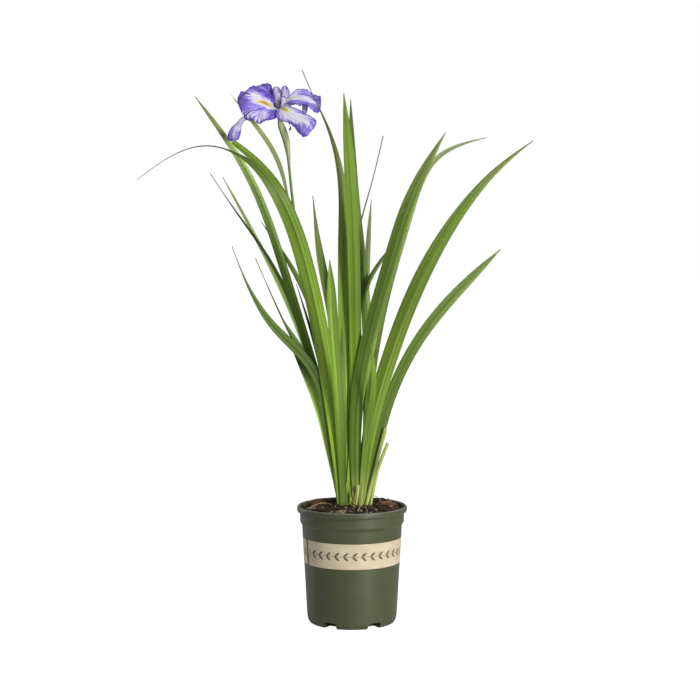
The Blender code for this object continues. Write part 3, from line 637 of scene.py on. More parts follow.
def bark_finish(crumb_group):
    """Bark from nearly black through red-brown to grey-tan, one tint for each chip."""
    made, tree, shader = new_finish("split_bark", {"Roughness": 0.85, "Specular IOR Level": 0.3})
    place = place_on(tree)
    tint = stored(tree, "tint")
    chart = add(tree, "ValToRGB", {0: tint})
    for stop, shade in zip(chart.color_ramp.elements, (BARK_TINTS[0.0], BARK_TINTS[1.0])):
        stop.color = colour(*shade)
    for spot in (0.4, 0.68, 0.85):
        chart.color_ramp.elements.new(spot).color = colour(*BARK_TINTS[spot])
    light = chart.outputs[0]
    feeds = {"Place": place, "Dark": colour(30, 22, 16), "Light": light, "Crumb": 700.0}
    crumb = add(tree, "Group", feeds, node_tree=crumb_group)
    body = paint(tree, 0.35, light, crumb.outputs["Color"])
    lead(body, shader.inputs["Base Color"])
    bump(tree, shader, crumb.outputs["Height"], 0.3)
    return made


crumb_group = crumbly()
set_in_place("bark_mix", make_soil(), soil_finish(crumb_group), "soil_dark", "soil", crease=180)
split_bark = bark_finish(crumb_group)
set_in_place("bark_chips", scattered_chips("bark_chips", CHIPS, 9.5, 2.4), split_bark, "soil_dark")
set_in_place("bark_pieces", large_bark("bark_pieces"), split_bark, "soil_dark", crease=50)
set_in_place("bark_crumbs", scattered_chips("bark_crumbs", CRUMBS, 2.6, 0.9), split_bark, "soil_dark")

# Root ends: pale, curly, hair-thin roots of the iris and fibres of the mix, which lie in
# loops on the soil, most of them before the crown and behind it on the right.
ROOTS = 26
ROOT_SIDES = 6
ROOT_STEPS = 16
ROOT_ARCH = 3.2
ROOT_DIP = 0.8
# Points in plan, how high it arches, radius and tint of each root that stands out
STRONG_ROOTS = (
    (((8, -42), (11, -32), (13, -24), (19, -18)), 6.0, 0.75, 0.0),
    (((16, -14), (19, -24), (20, -36), (25, -46)), 7.0, 0.7, 0.1),
    (((1, -4), (3, -10), (3, -16)), 9.0, 0.6, 0.2),
    (((34, 36), (30, 44), (36, 50), (44, 42)), 9.0, 0.9, 0.0),
    (((42, 40), (38, 34), (44, 24), (47, 20)), 7.0, 0.7, 0.05),
    (((43, 20), (52, 26), (60, 22), (69, 20)), 4.5, 0.9, 0.15),
    (((50, 44), (57, 38), (63, 40)), 6.0, 0.5, 0.3),
    (((-36, -50), (-30, -44), (-25, -40)), 4.0, 0.6, 0.3),
    (((-25, -48), (-20, -38), (-14, -34), (-9, -24)), 2.5, 0.7, 0.45),
    (((-66, -8), (-54, 4), (-42, 8), (-28, 20)), 4.5, 0.6, 0.6),
    (((-60, 10), (-48, 14), (-40, 26)), 4.0, 0.5, 0.7),
    (((-7, -30), (-10, -24), (-6, -14)), 5.0, 0.45, 0.3),
)
# Middle and spread of each place where fine roots lie
ROOT_SPOTS = ((10, -42, 16), (-8, -34, 18), (44, 12, 14), (30, -20, 16), (-40, 10, 20), (20, -55, 20))


def curve_through(points, steps):
    """Points along a natural cubic spline through these, and each one's share of the way."""
    points = np.asarray(points, float)
    spans = np.linalg.norm(np.diff(points[:, :3], axis=0), axis=1)
    reached = np.concatenate(([0.0], np.cumsum(spans)))
    count = len(points)
    system = np.eye(count)
    bend = np.zeros_like(points)
    for index in range(1, count - 1):
        before, after = spans[index - 1], spans[index]
        system[index, index - 1 : index + 2] = before, 2 * (before + after), after
        rise = (points[index + 1] - points[index]) / after
        bend[index] = 6 * (rise - (points[index] - points[index - 1]) / before)
    bend = np.linalg.solve(system, bend)
    share = np.linspace(0, 1, steps + 1)
    place_along = share * reached[-1]
    piece = np.clip(np.searchsorted(reached, place_along, side="right") - 1, 0, count - 2)
    into = (place_along - reached[piece])[:, None]
    span = spans[piece][:, None]
    start, end = points[piece], points[piece + 1]
    slope = (end - start) / span - span * (2 * bend[piece] + bend[piece + 1]) / 6
    cubic = (bend[piece + 1] - bend[piece]) / (6 * span)
    return share, start + into * slope + into**2 * bend[piece] / 2 + into**3 * cubic


def tube(shape, middle, radii, sides):
    """Adds a closed round tube along these points to the shape, and returns its corners."""
    along = np.gradient(middle, axis=0)
    along /= np.linalg.norm(along, axis=1)[:, None]
    first = np.cross(along, (0.31, 0.95, 0.07))
    first /= np.linalg.norm(first, axis=1)[:, None]
    second = np.cross(along, first)
    rings = []
    for point, out, beside, radius in zip(middle, first, second, radii):
        turns = [2 * pi * side / sides for side in range(sides)]
        rings.append([shape.verts.new(point + radius * (cos(t) * out + sin(t) * beside)) for t in turns])
    skin_over(shape, rings)
    return [corner for ring in rings for corner in ring]


def make_strands(name, strands):
    """Thin tubes in one mesh: each comes as its points, its radii and its tint."""
    shape = bmesh.new()
    tint = shape.verts.layers.float.new("tint")
    for middle, radii, shade in strands:
        for corner in tube(shape, middle, radii, ROOT_SIDES):
            corner[tint] = shade
    return as_mesh(name, shape)


def placed_roots():
    """The strong roots, each arched over the soil as the table says."""
    for plan, arch, radius, shade in STRONG_ROOTS:
        plan = np.array([(x, y, 0.0) for x, y in plan])
        share, middle = curve_through(plan, ROOT_STEPS)
        ground = [soil_height(x, y) for x, y in middle[:, :2]]
        middle[:, 2] = np.array(ground) + arch * np.sin(pi * share) - 0.6
        yield middle, radius * (1 - 0.45 * share), shade


def fine_roots():
    """Wandering roots, each of which dips into the soil at both its ends."""
    for index in range(ROOTS):
        spot_x, spot_y, spread = ROOT_SPOTS[index % len(ROOT_SPOTS)]
        x, y = random_soil.normal((spot_x, spot_y), spread)
        heading, curl = random_soil.uniform(0, 2 * pi), random_soil.normal(0, 0.25)
        stride = random_soil.uniform(0.6, 1.6)
        points = []
        for step in range(ROOT_STEPS + 1):
            arch = sin(pi * step / ROOT_STEPS)
            points.append((x, y, soil_height(x, y) + ROOT_ARCH * arch * stride - ROOT_DIP))
            heading += curl + random_soil.normal(0, 0.3)
            x, y = x + stride * cos(heading), y + stride * sin(heading)
            if Vector((x, y)).length > SOIL_RIM - 2:
                heading += 2.0
                x, y = points[-1][:2]
        middle = np.array(points)
        if np.linalg.norm(middle[:, :2], axis=1).max() > SOIL_RIM - 1:
            continue
        moved = np.linalg.norm(np.diff(middle, axis=0), axis=1) > 0.05
        middle = middle[np.concatenate(([True], moved))]
        thick = random_soil.uniform(0.22, 0.5)
        radii = thick * (0.5 + 0.5 * np.sin(pi * np.linspace(0.1, 1, len(middle))))
        yield middle, radii, random_soil.random()


def root_finish():
    """Straw-coloured root, browner in patches, a little waxy."""
    made, tree, shader = new_finish("pale_root", {"Roughness": 0.6, "Specular IOR Level": 0.4})
    place = place_on(tree)
    tint = stored(tree, "tint")
    patches = ease(tree, speckle(tree, place, 350.0, 3.0), 0.4, 0.65)
    straw = paint(tree, tint, colour(210, 196, 154), colour(144, 116, 74))
    lead(paint(tree, patches, straw, colour(104, 78, 48)), shader.inputs["Base Color"])
    bump(tree, shader, patches, 0.08)
    return made


dry_root = root_finish()
roots = make_strands("root_ends", chain(fine_roots(), placed_roots()))
set_in_place("root_ends", roots, dry_root, "dry_leaf")

# Leaves: flat swords of living leaf, each grown from the crown on its own, in two fans.
# Each has parallel veins and a raised midrib, and a slight fold along it.
LEAF_ROW = 7.0
LEAF_COLUMN = 1.7
LEAF_FOOT = 5.0
MIDRIB_WIDTH = 1.3
BLADE_EDGE = 0.22
BLADE_FLESH = 0.55
FOLD = 0.1
NARROWEST = 0.55
FLARE_HEIGHT = 45.0
OPEN_SHARE = 0.3
ROWS_CROWD = 1.15
RIPPLE = 0.25
RIPPLE_LENGTH = 38
RIB_HEIGHT = 0.8
# Width of the painted highlight along a leaf's right edge
EDGE_HIGHLIGHT_REACH = 2.4
OLIVE_END = 170.0
PALE_FOOT = 66.0
OLIVE = (132, 140, 82)
PALE = (170, 188, 94)
DRY_TIP = (110, 100, 60)
# How far up a leaf each of its five tones stands
TONE_STOPS = (0.06, 0.15, 0.5, 0.85, 0.94)
FOLDED_BACK = ("leaf_right_sweeping", "leaf_left_front", "leaf_middle_tall", "leaf_right_low")


def rings_of(node, corners_round):
    """The rings of corners that a packed blade or stem is made of, from its foot up."""
    mesh = frame["nodes"][node].data
    number, own = {}, []
    for vertex in mesh.vertices:
        own.append(number.setdefault(tuple(round(part, 6) for part in vertex.co), len(number)))
    beside = [set() for _ in number]
    for edge in mesh.edges:
        one, other = (own[corner] for corner in edge.vertices)
        beside[one].add(other)
        beside[other].add(one)
    corners = np.array(list(number)) / METRES
    ring = set(np.argsort(corners[:, 2])[:corners_round].tolist())
    rings, seen = [], set()
    while ring:
        rings.append(corners[sorted(ring)])
        seen |= ring
        ring = set().union(*(beside[corner] for corner in ring)) - seen
    return rings


def blade_rows(node):
    """Middle, half width and half thickness of a packed blade at each ring, nine numbers a row."""
    rows = []
    last_half, last_face = (1, 0, 0), (0, 1, 0)
    for ring in rings_of(node, 4):
        pairs = combinations(range(4), 2)
        left, right = max(pairs, key=lambda pair: np.linalg.norm(ring[pair[1]] - ring[pair[0]]))
        front, back = sorted(set(range(4)) - {left, right})
        half, face = (ring[right] - ring[left]) / 2, (ring[back] - ring[front]) / 2
        half *= np.sign(half @ last_half)
        face *= np.sign(face @ last_face)
        rows.append(np.concatenate(((ring[left] + ring[right]) / 2, half, face)))
        last_half, last_face = half, face
    return np.array(rows)


def unit(vectors):
    """These vectors at a length of 1."""
    return vectors / np.linalg.norm(vectors, axis=-1, keepdims=True)


def store(mesh, mark, values):
    """Keeps a row of one or three numbers for each point of the mesh."""
    kind, field = ("FLOAT", "value") if values.shape[1] == 1 else ("FLOAT_VECTOR", "vector")
    held = mesh.attributes.new(mark, kind, "POINT").data
    held.foreach_set(field, values.ravel().astype(np.float32))


def closed_sheet(name, middle, face_way, thick, marks):
    """A closed skin on both sides of a grid of points. The marks are stored on it for the finish."""
    rows, columns = middle.shape[:2]
    count = rows * columns
    half = (thick / 2)[..., None] * face_way
    points = np.concatenate(((middle - half).reshape(-1, 3), (middle + half).reshape(-1, 3)))
    corner = np.arange(count).reshape(rows, columns)
    near = np.stack((corner[:-1, :-1], corner[:-1, 1:], corner[1:, 1:], corner[1:, :-1]), -1)
    near = near.reshape(-1, 4)
    rim = np.concatenate((corner[0, :-1], corner[:-1, -1], corner[-1, :0:-1], corner[:0:-1, 0]))
    following = np.roll(rim, -1)
    side = np.stack((following, rim, rim + count, following + count), -1)
    faces = np.concatenate((near, near[:, ::-1] + count, side))
    mesh = bpy.data.meshes.new(name)
    mesh.from_pydata(points * METRES, [], faces.tolist())
    for mark, values in marks.items():
        store(mesh, mark, np.concatenate((values.reshape(count, -1),) * 2))
    return mesh


class Look(NamedTuple):
    """How one leaf differs from the others of its colour, in its own shade and in the light and shade
    painted on it.
    """

    # The tones mix the leaf's own shade with painted light and shade: parts in shade are painted darker
    # and parts in light lighter. right paints light on the right half, or shade where it is below 0, and
    # edge paints a highlight along the right edge.
    low: float = 1.0  # how light its lower, middle and upper part are
    middle: float = 1.0
    high: float = 1.0
    right: float = 0.0  # how much lighter its right half is
    edge: float = 0.0  # how much lighter its right edge is
    olive: float = 0.0  # how far its upper end has turned olive
    pale: float = 0.35  # how pale its foot is
    tip: float = 1.0  # how light its tip is, beside its upper part
    root: float = 0.85  # how light its lowest end is, beside its lower part
    blunt: float = 0.0  # how slowly it narrows
    short: float = 0.0  # how far below its solid's tip it ends, in millimetres


def make_blade(node, seed, look=Look(), fold=FOLD, flesh=BLADE_FLESH, wrap=0, foot=LEAF_FOOT, flare=0):
    """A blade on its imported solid: rounded rows, a raised midrib, and a fold along it."""
    rows = blade_rows(node)
    length = np.linalg.norm(np.diff(rows[:, :3], axis=0), axis=1).sum()
    steps = max(12, round(length / LEAF_ROW))
    share, rows = curve_through(rows, steps)
    kept = share <= 1 - look.short / length
    share, rows = share[kept], rows[kept]
    if foot:
        below = rows[0].copy()
        below[2] -= foot
        rows, share = np.vstack((below, rows)), np.concatenate(([0.0], share))
    middle, half = rows[:, :3], rows[:, 3:6]
    half_width = np.clip(np.linalg.norm(half, axis=1), NARROWEST, None)
    half_width = half_width.max() * (half_width / half_width.max()) ** (1 - look.blunt)
    half_width = half_width * (1 + flare * smooth_step(1 - share * length / FLARE_HEIGHT))
    half = unit(half) * half_width[:, None]
    along = unit(np.gradient(middle, axis=0))
    face = unit(np.cross(along, half))
    columns = 2 * round(max(3, half_width.max() / LEAF_COLUMN))
    across = np.linspace(-1, 1, columns + 1)
    across = np.sign(across) * np.abs(across) ** ROWS_CROWD
    from_rib = across * half_width[:, None]
    opened = smooth_step(share / OPEN_SHARE)[:, None]
    depth = fold * opened * (np.sqrt(from_rib**2 + 1) - 1) + wrap * half_width[:, None] * across**2
    ripple = RIPPLE * np.sin(share * length / RIPPLE_LENGTH + seed)[:, None] * across**3 * opened
    sheet = middle[:, None] + across[:, None] * half[:, None]
    sheet = sheet + (depth + ripple)[..., None] * face[:, None]
    rib = np.exp(-((from_rib / MIDRIB_WIDTH) ** 2)) * (1 - 0.6 * share[:, None])
    thick = BLADE_EDGE + (flesh - BLADE_EDGE) * (1 - across**2) + RIB_HEIGHT * rib
    thick = np.minimum(thick, 1.2 * half_width[:, None] + 0.05)
    up = (share * length)[:, None] + 0 * from_rib
    rightwards = np.sign(half[:, 0])[:, None] * from_rib
    to_edge = half_width[:, None] - np.abs(from_rib)
    # Painted light: one half of the blade is painted lighter than the other, as on a fold turned to the
    # light, and a painted highlight runs along its right edge.
    painted_side_light = look.right * np.clip(rightwards / 1.2, -1, 1) * smooth_step(up / 60)
    painted_edge_highlight = look.edge * np.exp(-((to_edge / EDGE_HIGHLIGHT_REACH) ** 2)) * (rightwards > 0)
    tones = (look.low * look.root, *look[:3], look.high * look.tip)
    tone_and_painted_light = np.interp(share, TONE_STOPS, tones)[:, None]
    marks = {
        "blade": np.stack((from_rib, up, np.full_like(up, seed)), -1),
        "tone_and_painted_light": tone_and_painted_light * (1 + painted_side_light + painted_edge_highlight),
        "olive": look.olive * smooth_step(1 - (length - up) / OLIVE_END),
        "pale": look.pale * smooth_step(1 - up / PALE_FOOT),
        "to_tip": length - up,
        "to_edge": to_edge,
    }
    face_way = np.broadcast_to(face[:, None], sheet.shape)
    return closed_sheet(node + "_blade", sheet, face_way, thick, marks)


def leaf_skin():
    """Shader group: a leaf's parallel veins, dark midrib and drying tip, made lighter or darker as
    stored on it, for its own shade and for painted light and shade.
    """
    shades = dict.fromkeys(("Pale", "Flesh", "Upper", "Vein", "Olive", "Tip"), "Color")
    gives = {"Color": "Color", "Roughness": "Float", "Height": "Float"}
    tree, given, results = new_group("leaf_skin", {**shades, "Veining": "Float"}, gives)
    pale, flesh, upper, vein, olive, tip, veining = given.values()
    blade = stored(tree, "blade", "Vector")
    marks = ("tone_and_painted_light", "olive", "pale", "to_tip", "to_edge")
    tone_and_painted_light, aged, bleached, to_tip, to_edge = (stored(tree, mark) for mark in marks)
    from_rib, up, _ = three_parts(tree, blade)
    fine = speckle(tree, stretched(tree, blade, 0.75, 0.003, 7.3), 1.0, 1.0, 0.6)
    broad = speckle(tree, stretched(tree, blade, 0.3, 0.0016, 3.1), 1.0, 1.0)
    patchy = speckle(tree, stretched(tree, blade, 0.06, 0.012, 5.7), 1.0, 3.0)
    body = paint(tree, ease(tree, to_tip, 420.0, 60.0), flesh, upper)
    body = paint(tree, ease(tree, patchy, 0.4, 0.75, 0.0, 0.4), body, upper)
    lines = veining * ease(tree, fine, 0.45, 0.72)
    body = paint(tree, lines, body, vein)
    body = paint(tree, aged, body, olive)
    body = paint(tree, bleached, body, pale)
    # Each stripe between two strong veins is lighter or darker, and a dark line of painted shade runs
    # along the midrib, as in a crease
    stripe = ease(tree, broad, 0.32, 0.68, 0.83, 1.17)
    stripe = stripe * ease(tree, fine, 0.25, 0.75, 0.88, 1.12)
    rib_off = calc(tree, "ABSOLUTE", from_rib)
    rib = ease(tree, rib_off, 0.9, 0.4, 0.0, 0.4) * ease(tree, up, 20.0, 160.0)
    rib = rib * ease(tree, to_tip, 20.0, 120.0)
    stripe = stripe * (1.0 - rib)
    stripe = stripe * ease(tree, to_edge, 0.1, 0.5, 0.7, 1.0)
    feeds = {0: body, "Scale": stripe * tone_and_painted_light}
    lit = add(tree, "VectorMath", feeds, operation="SCALE").outputs[0]
    uneven = patchy * 9.0
    lit = paint(tree, ease(tree, to_tip - uneven, 3.0, -3.0, 0.0, 0.8), lit, tip)
    lead(lit, results["Color"])
    lead(ease(tree, fine, 0.3, 0.7, 0.44, 0.56), results["Roughness"])
    lead(broad, results["Height"])
    return tree


def leaf_finish(name, flesh, upper, vein, tip=DRY_TIP):
    """Living leaf with a thin wax bloom, in these greens from its foot up."""
    made, tree, shader = new_finish(name, {"Specular IOR Level": 0.22})
    shades = {"Pale": PALE, "Flesh": flesh, "Upper": upper, "Vein": vein, "Olive": OLIVE, "Tip": tip}
    feeds = {socket: colour(*shade) for socket, shade in shades.items()}
    green = add(tree, "Group", {**feeds, "Veining": 0.35}, node_tree=skin).outputs
    lead(green["Color"], shader.inputs["Base Color"])
    lead(green["Roughness"], shader.inputs["Roughness"])
    bump(tree, shader, green["Height"], 0.1)
    return made


skin = leaf_skin()
greens = {
    "leaf_bright": leaf_finish("bright_green", (102, 132, 32), (106, 135, 46), (136, 162, 66)),
    "leaf_mid": leaf_finish("mid_green", (88, 114, 32), (104, 130, 58), (128, 152, 76)),
    "leaf_dark": leaf_finish("deep_green", (76, 101, 25), (86, 108, 42), (114, 136, 64)),
    "leaf_olive": leaf_finish("olive_green", (112, 134, 58), (130, 146, 92), (146, 160, 106)),
    "leaf_pale": leaf_finish("pale_green", PALE, (168, 184, 98), (190, 200, 132), (188, 188, 136)),
}
# Each leaf's look paints light and shade into its colour along with its own shade: darker where the leaf
# stands in shade, lighter where it catches light, one half lighter than the other as on a folded blade,
# and a highlight on some right edges.
LEAF_LOOKS = {
    "leaf_left_arching": Look(1.6, 0.98, 0.33, pale=0.2, root=0.6),
    "leaf_left_dark": Look(0.9, 1.2, 1.15, -0.25),
    "leaf_left_front": Look(0.63, 1.25, 1.02, -0.25, tip=0.8),
    "leaf_left_hidden": Look(1.2, 1.2, 1.15, 0.1),
    "leaf_left_inner": Look(2.0, 2.1, 0.95, tip=0.7),
    "leaf_left_long": Look(0.95, 1.3, 1.48, 0.1, 0, 1.0, 0.35, 0.5),
    "leaf_left_low": Look(1.5, 1.5, 1.5),
    "leaf_left_lower_sweep": Look(0.75, 0.62, 1.05, -0.12, pale=0.8, root=1.2),
    "leaf_left_olive": Look(3.9, 3.9, 1.7),
    "leaf_left_outer": Look(5.0, 3.8, 0.3, pale=0.8, tip=3.0, root=1.0),
    "leaf_left_second": Look(1.1, 1.1, 1.05, blunt=0.74, short=5),
    "leaf_left_sliver": Look(0.26, 0.26, 0.26),
    "leaf_left_thin": Look(1.1, 1.1, 1.1),
    "leaf_left_upright": Look(1.65, 1.65, 1.6, 0, 0, 0.5),
    "leaf_middle_back": Look(1.2, 1.65, 0.6),
    "leaf_middle_crossing": Look(1.0, 1.0, 0.9, 0.25),
    "leaf_middle_hairlike": Look(0.6, 0.8, 1.0, olive=0.9, blunt=0.4),
    "leaf_middle_tall": Look(1.45, 0.76, 1.22, -0.28, pale=0.2, tip=0.85, root=0.95),
    "leaf_middle_tallest": Look(3.6, 2.1, 0.76, 0.1, 0, 0.6, 0.2, 0.9, 0.6),
    "leaf_right_broad": Look(1.3, 0.95, 1.42, -0.05, 0.5, 0.4, 0.6, root=0.8),
    "leaf_right_curved": Look(6.0, 1.5, 0.88),
    "leaf_right_low": Look(0.8, 0.85, 1.1, -0.1, 0.15, 0.4, 1.0, root=0.9),
    "leaf_right_short": Look(0.9, 0.9, 1.6, -0.2, 0, 0, 1.0, 0.7, 0.85),
    "leaf_right_sweeping": Look(1.0, 0.6, 0.74, 0, 0.3, 0.9, 0.9, 0.85, 0.75),
    "leaf_right_upright": Look(1.2, 1.2, 0.66),
}
slot_of = {part["node"]: part["material_slot"] for part in frame["record"]["subparts"]}
leaf_nodes = sorted(node for node in frame["nodes"] if node.startswith("leaf_"))
for count, node in enumerate(leaf_nodes):
    fold = FOLD * (2 if node in FOLDED_BACK else 1)
    blade = make_blade(node, count * 1.7, LEAF_LOOKS.get(node, Look()), fold)
    set_in_place(node + "_blade", blade, greens[slot_of[node]], slot_of[node], node)

# Cut stubs: three short remains of leaves and stems that were trimmed off, pale green, with
# a dried cut at the top. A brown, papery sheath of an old leaf stands between the fans.
# Points, radius and tint of each shred of the sheath
SHREDS = (
    (((3.1, 2.5, 172), (1.9, 3, 191.6), (1.2, 3.2, 200.5)), 0.75, 1.0),
    (((3.4, 1.5, 172), (4.8, 1.5, 187), (6.8, 1.0, 197.5)), 0.6, 0.35),
    (((4.9, 0.0, 172), (2.7, 0.5, 179.7), (-1.8, 1.0, 184)), 0.45, 0.0),
)
# The stubs' looks paint light and shade into their colour as well as their own colour.
STUB_LOOKS = {
    "cut_stub_low": Look(0.95, 0.88, 0.82, root=1.0),
    "cut_stub_high": Look(1.3, 0.45, 0.8, root=1.0),
    "cut_stub_front": Look(0.7, 0.9, 1.05, root=1.0),
}


def sheath_finish():
    """Dry leaf: thin brown paper with darker veins."""
    made, tree, shader = new_finish("dry_sheath_paper", {"Roughness": 0.8, "Specular IOR Level": 0.25})
    blade = stored(tree, "blade", "Vector")
    lines = speckle(tree, stretched(tree, blade, 1.8, 0.05, 1.0), 1.0, 3.0)
    patches = speckle(tree, stretched(tree, blade, 0.3, 0.2, 1.0), 1.0, 3.0)
    brown = paint(tree, ease(tree, patches, 0.35, 0.65), colour(196, 176, 82), colour(160, 136, 62))
    veined = paint(tree, ease(tree, lines, 0.45, 0.7), brown, colour(84, 62, 34))
    lead(veined, shader.inputs["Base Color"])
    bump(tree, shader, lines, 0.25)
    return made


def shreds():
    """Thin strips that the dry leaf has frayed into, each from the soil up."""
    for points, radius, shade in SHREDS:
        share, middle = curve_through(points, ROOT_STEPS)
        yield middle, radius * (1 - 0.5 * share), shade


for count, (node, look) in enumerate(STUB_LOOKS.items()):
    stub = make_blade(node, 60 + count, look, fold=0.3, flesh=1.6, flare=0.35)
    set_in_place(node + "_blade", stub, greens["leaf_pale"], "leaf_pale", node)
sheath = make_blade("dry_sheath", 70, fold=-0.5, flesh=0.4)
set_in_place("dry_sheath_blade", sheath, sheath_finish(), "dry_leaf", "dry_sheath")
set_in_place("sheath_shreds", make_strands("sheath_shreds", shreds()), dry_root, "dry_leaf")

# Flower stem: one round green stem that rises inside the left fan, with a joint where its
# one narrow leaf clasps it. Two green spathe valves wrap the flower's foot at its top.
STEM_SIDES = 20
STEM_JOINT_HEIGHT = 626.0
STEM_JOINT_SWELL = 0.16
STEM_MARKS = {"to_tip": 300.0, "to_edge": 300.0, "tone_and_painted_light": 1.0, "olive": 0.0, "pale": 0.0}
# The looks of the stem leaf and the spathe valves paint light and shade into their colour too.
STEM_LEAF_LOOK = Look(0.85, 1.3, 2.1, olive=1.0, pale=0, blunt=-0.8)
SPATHE_LOOK = Look(0.62, 1.05, 1.42, pale=0)


def make_stem(node, foot=0.0):
    """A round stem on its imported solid, a little thicker at its joint."""
    rings = rings_of(node, 8)
    middles = np.array([ring.mean(0) for ring in rings])
    radii = [np.linalg.norm(ring - ring.mean(0), axis=1).mean() for ring in rings]
    length = np.linalg.norm(np.diff(middles, axis=0), axis=1).sum()
    steps = max(24, round(length / 6))
    share, rows = curve_through(np.column_stack((middles, radii)), steps)
    middle, radius = rows[:, :3], rows[:, 3]
    radius = radius * (1 + STEM_JOINT_SWELL * np.exp(-(((middle[:, 2] - STEM_JOINT_HEIGHT) / 5) ** 2)))
    if foot:
        middle = np.vstack((middle[0] - (0, 0, foot), middle))
        radius, share = np.append(radius[0], radius), np.append(0.0, share)
    shape = bmesh.new()
    tube(shape, middle, radius, STEM_SIDES)
    mesh = as_mesh(node + "_rod", shape)
    around = np.linspace(0, 2 * pi, STEM_SIDES, endpoint=False)
    up = np.repeat(share * length, STEM_SIDES)
    side = np.tile(4 * np.sin(around), len(share)) + 2.5
    store(mesh, "blade", np.column_stack((side, up, np.full_like(up, 30.0))))
    for mark, value in STEM_MARKS.items():
        store(mesh, mark, np.full((len(up), 1), value))
    return mesh


spathe_green = leaf_finish("spathe_green", (146, 164, 102), (170, 184, 130), (180, 190, 142))
stem = make_stem("flower_stem", LEAF_FOOT)
set_in_place("flower_stem_rod", stem, greens["leaf_mid"], "leaf_mid", "flower_stem")
set_in_place("flower_tube_rod", make_stem("flower_tube"), spathe_green, "leaf_pale", "flower_tube")
stem_leaf = make_blade("stem_leaf", 41, STEM_LEAF_LOOK, flesh=0.5, foot=0)
set_in_place("stem_leaf_blade", stem_leaf, greens["leaf_olive"], "leaf_olive", "stem_leaf")
for node, slot, wrap in (("spathe_outer", "leaf_mid", 0.62), ("spathe_inner", "leaf_pale", -0.62)):
    valve = make_blade(node, 50, SPATHE_LOOK, 0, 0.6, wrap, foot=2.5, flare=-0.32)
    set_in_place(node + "_blade", valve, spathe_green, slot, node)

# Flower: three broad ruffled falls, three small standards between them, and three style arms
# that stand over the heart. All are thin, velvety petals, veined from a yellow signal at
# the foot of each fall. Places are measured from the heart, where they meet.
HEART = np.array((-108.0, 15.0, 768.5))
PETAL_ROWS = 64
PETAL_COLUMNS = 44
PETAL_THICKNESS = 0.55
PETAL_RIM = 0.2
RIM_REACH = 6
CURVE_POINTS = 96
PLEATS_OPEN = 28
FALLS = {
    "fall_left": (
        ((-2.5, 1, -2.5), (-3, -1, -4), (-2.5, -4, -7)),
        ((-8.5, 2, 1), (-7, -1.5, -1.5), (-2.5, -7, -12)),
        ((-6.5, 6, 9), (-10, -2, 1), (-4, -10, -16)),
        ((-5.5, 9, 18), (-13, -2, 3), (-7.5, -13, -18.6)),
        ((-9.5, 13, 28), (-17, -3, 5), (-14, -16, -21)),
        ((-17, 16, 35.5), (-23, -3.5, 7.5), (-22, -19, -23.5)),
        ((-27, 18.5, 37), (-30, -4, 10), (-30, -21, -25.4)),
        ((-36, 18, 32.5), (-38, -4, 12.5), (-37, -21, -23.5)),
        ((-43, 16, 29), (-46, -3.5, 15), (-43.5, -19.5, -21)),
        ((-51, 13, 26), (-54, -1.5, 16), (-50.5, -15.5, -16)),
        ((-58, 8, 23.5), (-62, 1, 14), (-56, -8, -7)),
    ),
    "fall_front": (
        ((0, -4.5, -3), (2.5, -4.5, -2), (5, -3.5, -1)),
        ((-3.5, -8, -7), (6, -8, -4), (13, -4, 1)),
        ((-5, -12, -14), (11, -11, -7), (21, -5, -0.5)),
        ((0, -16, -20), (17, -14, -11), (30, -7, -4.5)),
        ((9, -19, -23), (23, -18, -15.5), (39, -10, -10.5)),
        ((17, -22, -27), (29, -23, -21.5), (48, -14.5, -15)),
        ((23, -26, -31.5), (34, -29, -28.5), (55.5, -19, -21)),
        ((27, -31, -37), (38, -34, -35.5), (54, -24, -30)),
        ((31, -36, -42.5), (40, -37.5, -41), (48, -30, -38)),
        ((36, -40, -47), (40, -40, -46.5), (43, -36, -45)),
    ),
    "fall_right": (
        ((5, 1, -3), (5.5, 2.5, -1.5), (5.5, 4.5, 0)),
        ((12, 2, 4), (11, 5, 7), (11, 7, 10)),
        ((20, 2, 4.7), (17, 8, 12.5), (16, 14, 20)),
        ((30, 1, 3), (25, 12, 15), (23, 22, 26)),
        ((42, 1, 0.6), (34, 15, 16), (31, 28, 31)),
        ((50, 4, -4), (43, 18, 15), (41, 33, 27)),
        ((58, 7, -8), (52, 20, 12.5), (50, 36, 23)),
        ((61, 12, -3), (61.5, 21, 8), (61, 34, 20)),
    ),
}
# How deep each fall is ruffled, how often, how finely it is frilled, and how deep it is pleated
RUFFLES = {
    "fall_left": (2.8, 3.5, 1.8, 0.85),
    "fall_front": (0.6, 3.0, 1.0, 0.35),
    "fall_right": (1.5, 3.0, 1.2, 0.35),
}
STANDARDS = {
    "standard_front": (
        ((-2.5, 3.5, -6), (-3, 2.5, -8), (-3.5, 1, -10)),
        ((-25, -3, -12), (-25, -4, -14.5), (-25, -6, -17)),
        ((-44, -9, -14), (-44, -10, -17), (-43, -11, -20.5)),
        ((-54.6, -13, -16), (-52, -14, -19.5), (-48, -15, -21)),
        ((-62, -17, -23.5), (-57, -18.5, -25), (-52, -18, -24)),
        ((-69, -21, -31), (-62, -23, -33), (-55, -21, -32)),
        ((-74.5, -25, -41.5), (-66, -27, -42), (-56, -25, -41.5)),
        ((-75.5, -28, -50), (-67, -31, -53), (-58.5, -28, -49.5)),
    ),
    "standard_right": (
        ((4, 3.5, -6), (4, 5, -4.5), (3.5, 6.5, -3)),
        ((20, 16, 4), (20, 16, 6.5), (20, 17, 9)),
        ((33, 18, 5), (36, 17, 7), (40, 17, 9)),
        ((33.5, 15, -1), (37.5, 13, 0), (42, 15, 1)),
        ((34, 13, -7), (37, 12, -9), (40, 13, -8.5)),
    ),
    "standard_back": (
        ((0.5, 4, -5), (-1, 4.5, -4), (-2.5, 4, -3)),
        ((-12, 26, 14), (-16, 26, 9), (-20, 23, 5)),
        ((-22, 38, 18), (-28, 38, 12), (-34, 33, 8)),
        ((-32, 45, 8), (-38, 43, 4), (-43, 38, 2)),
    ),
}
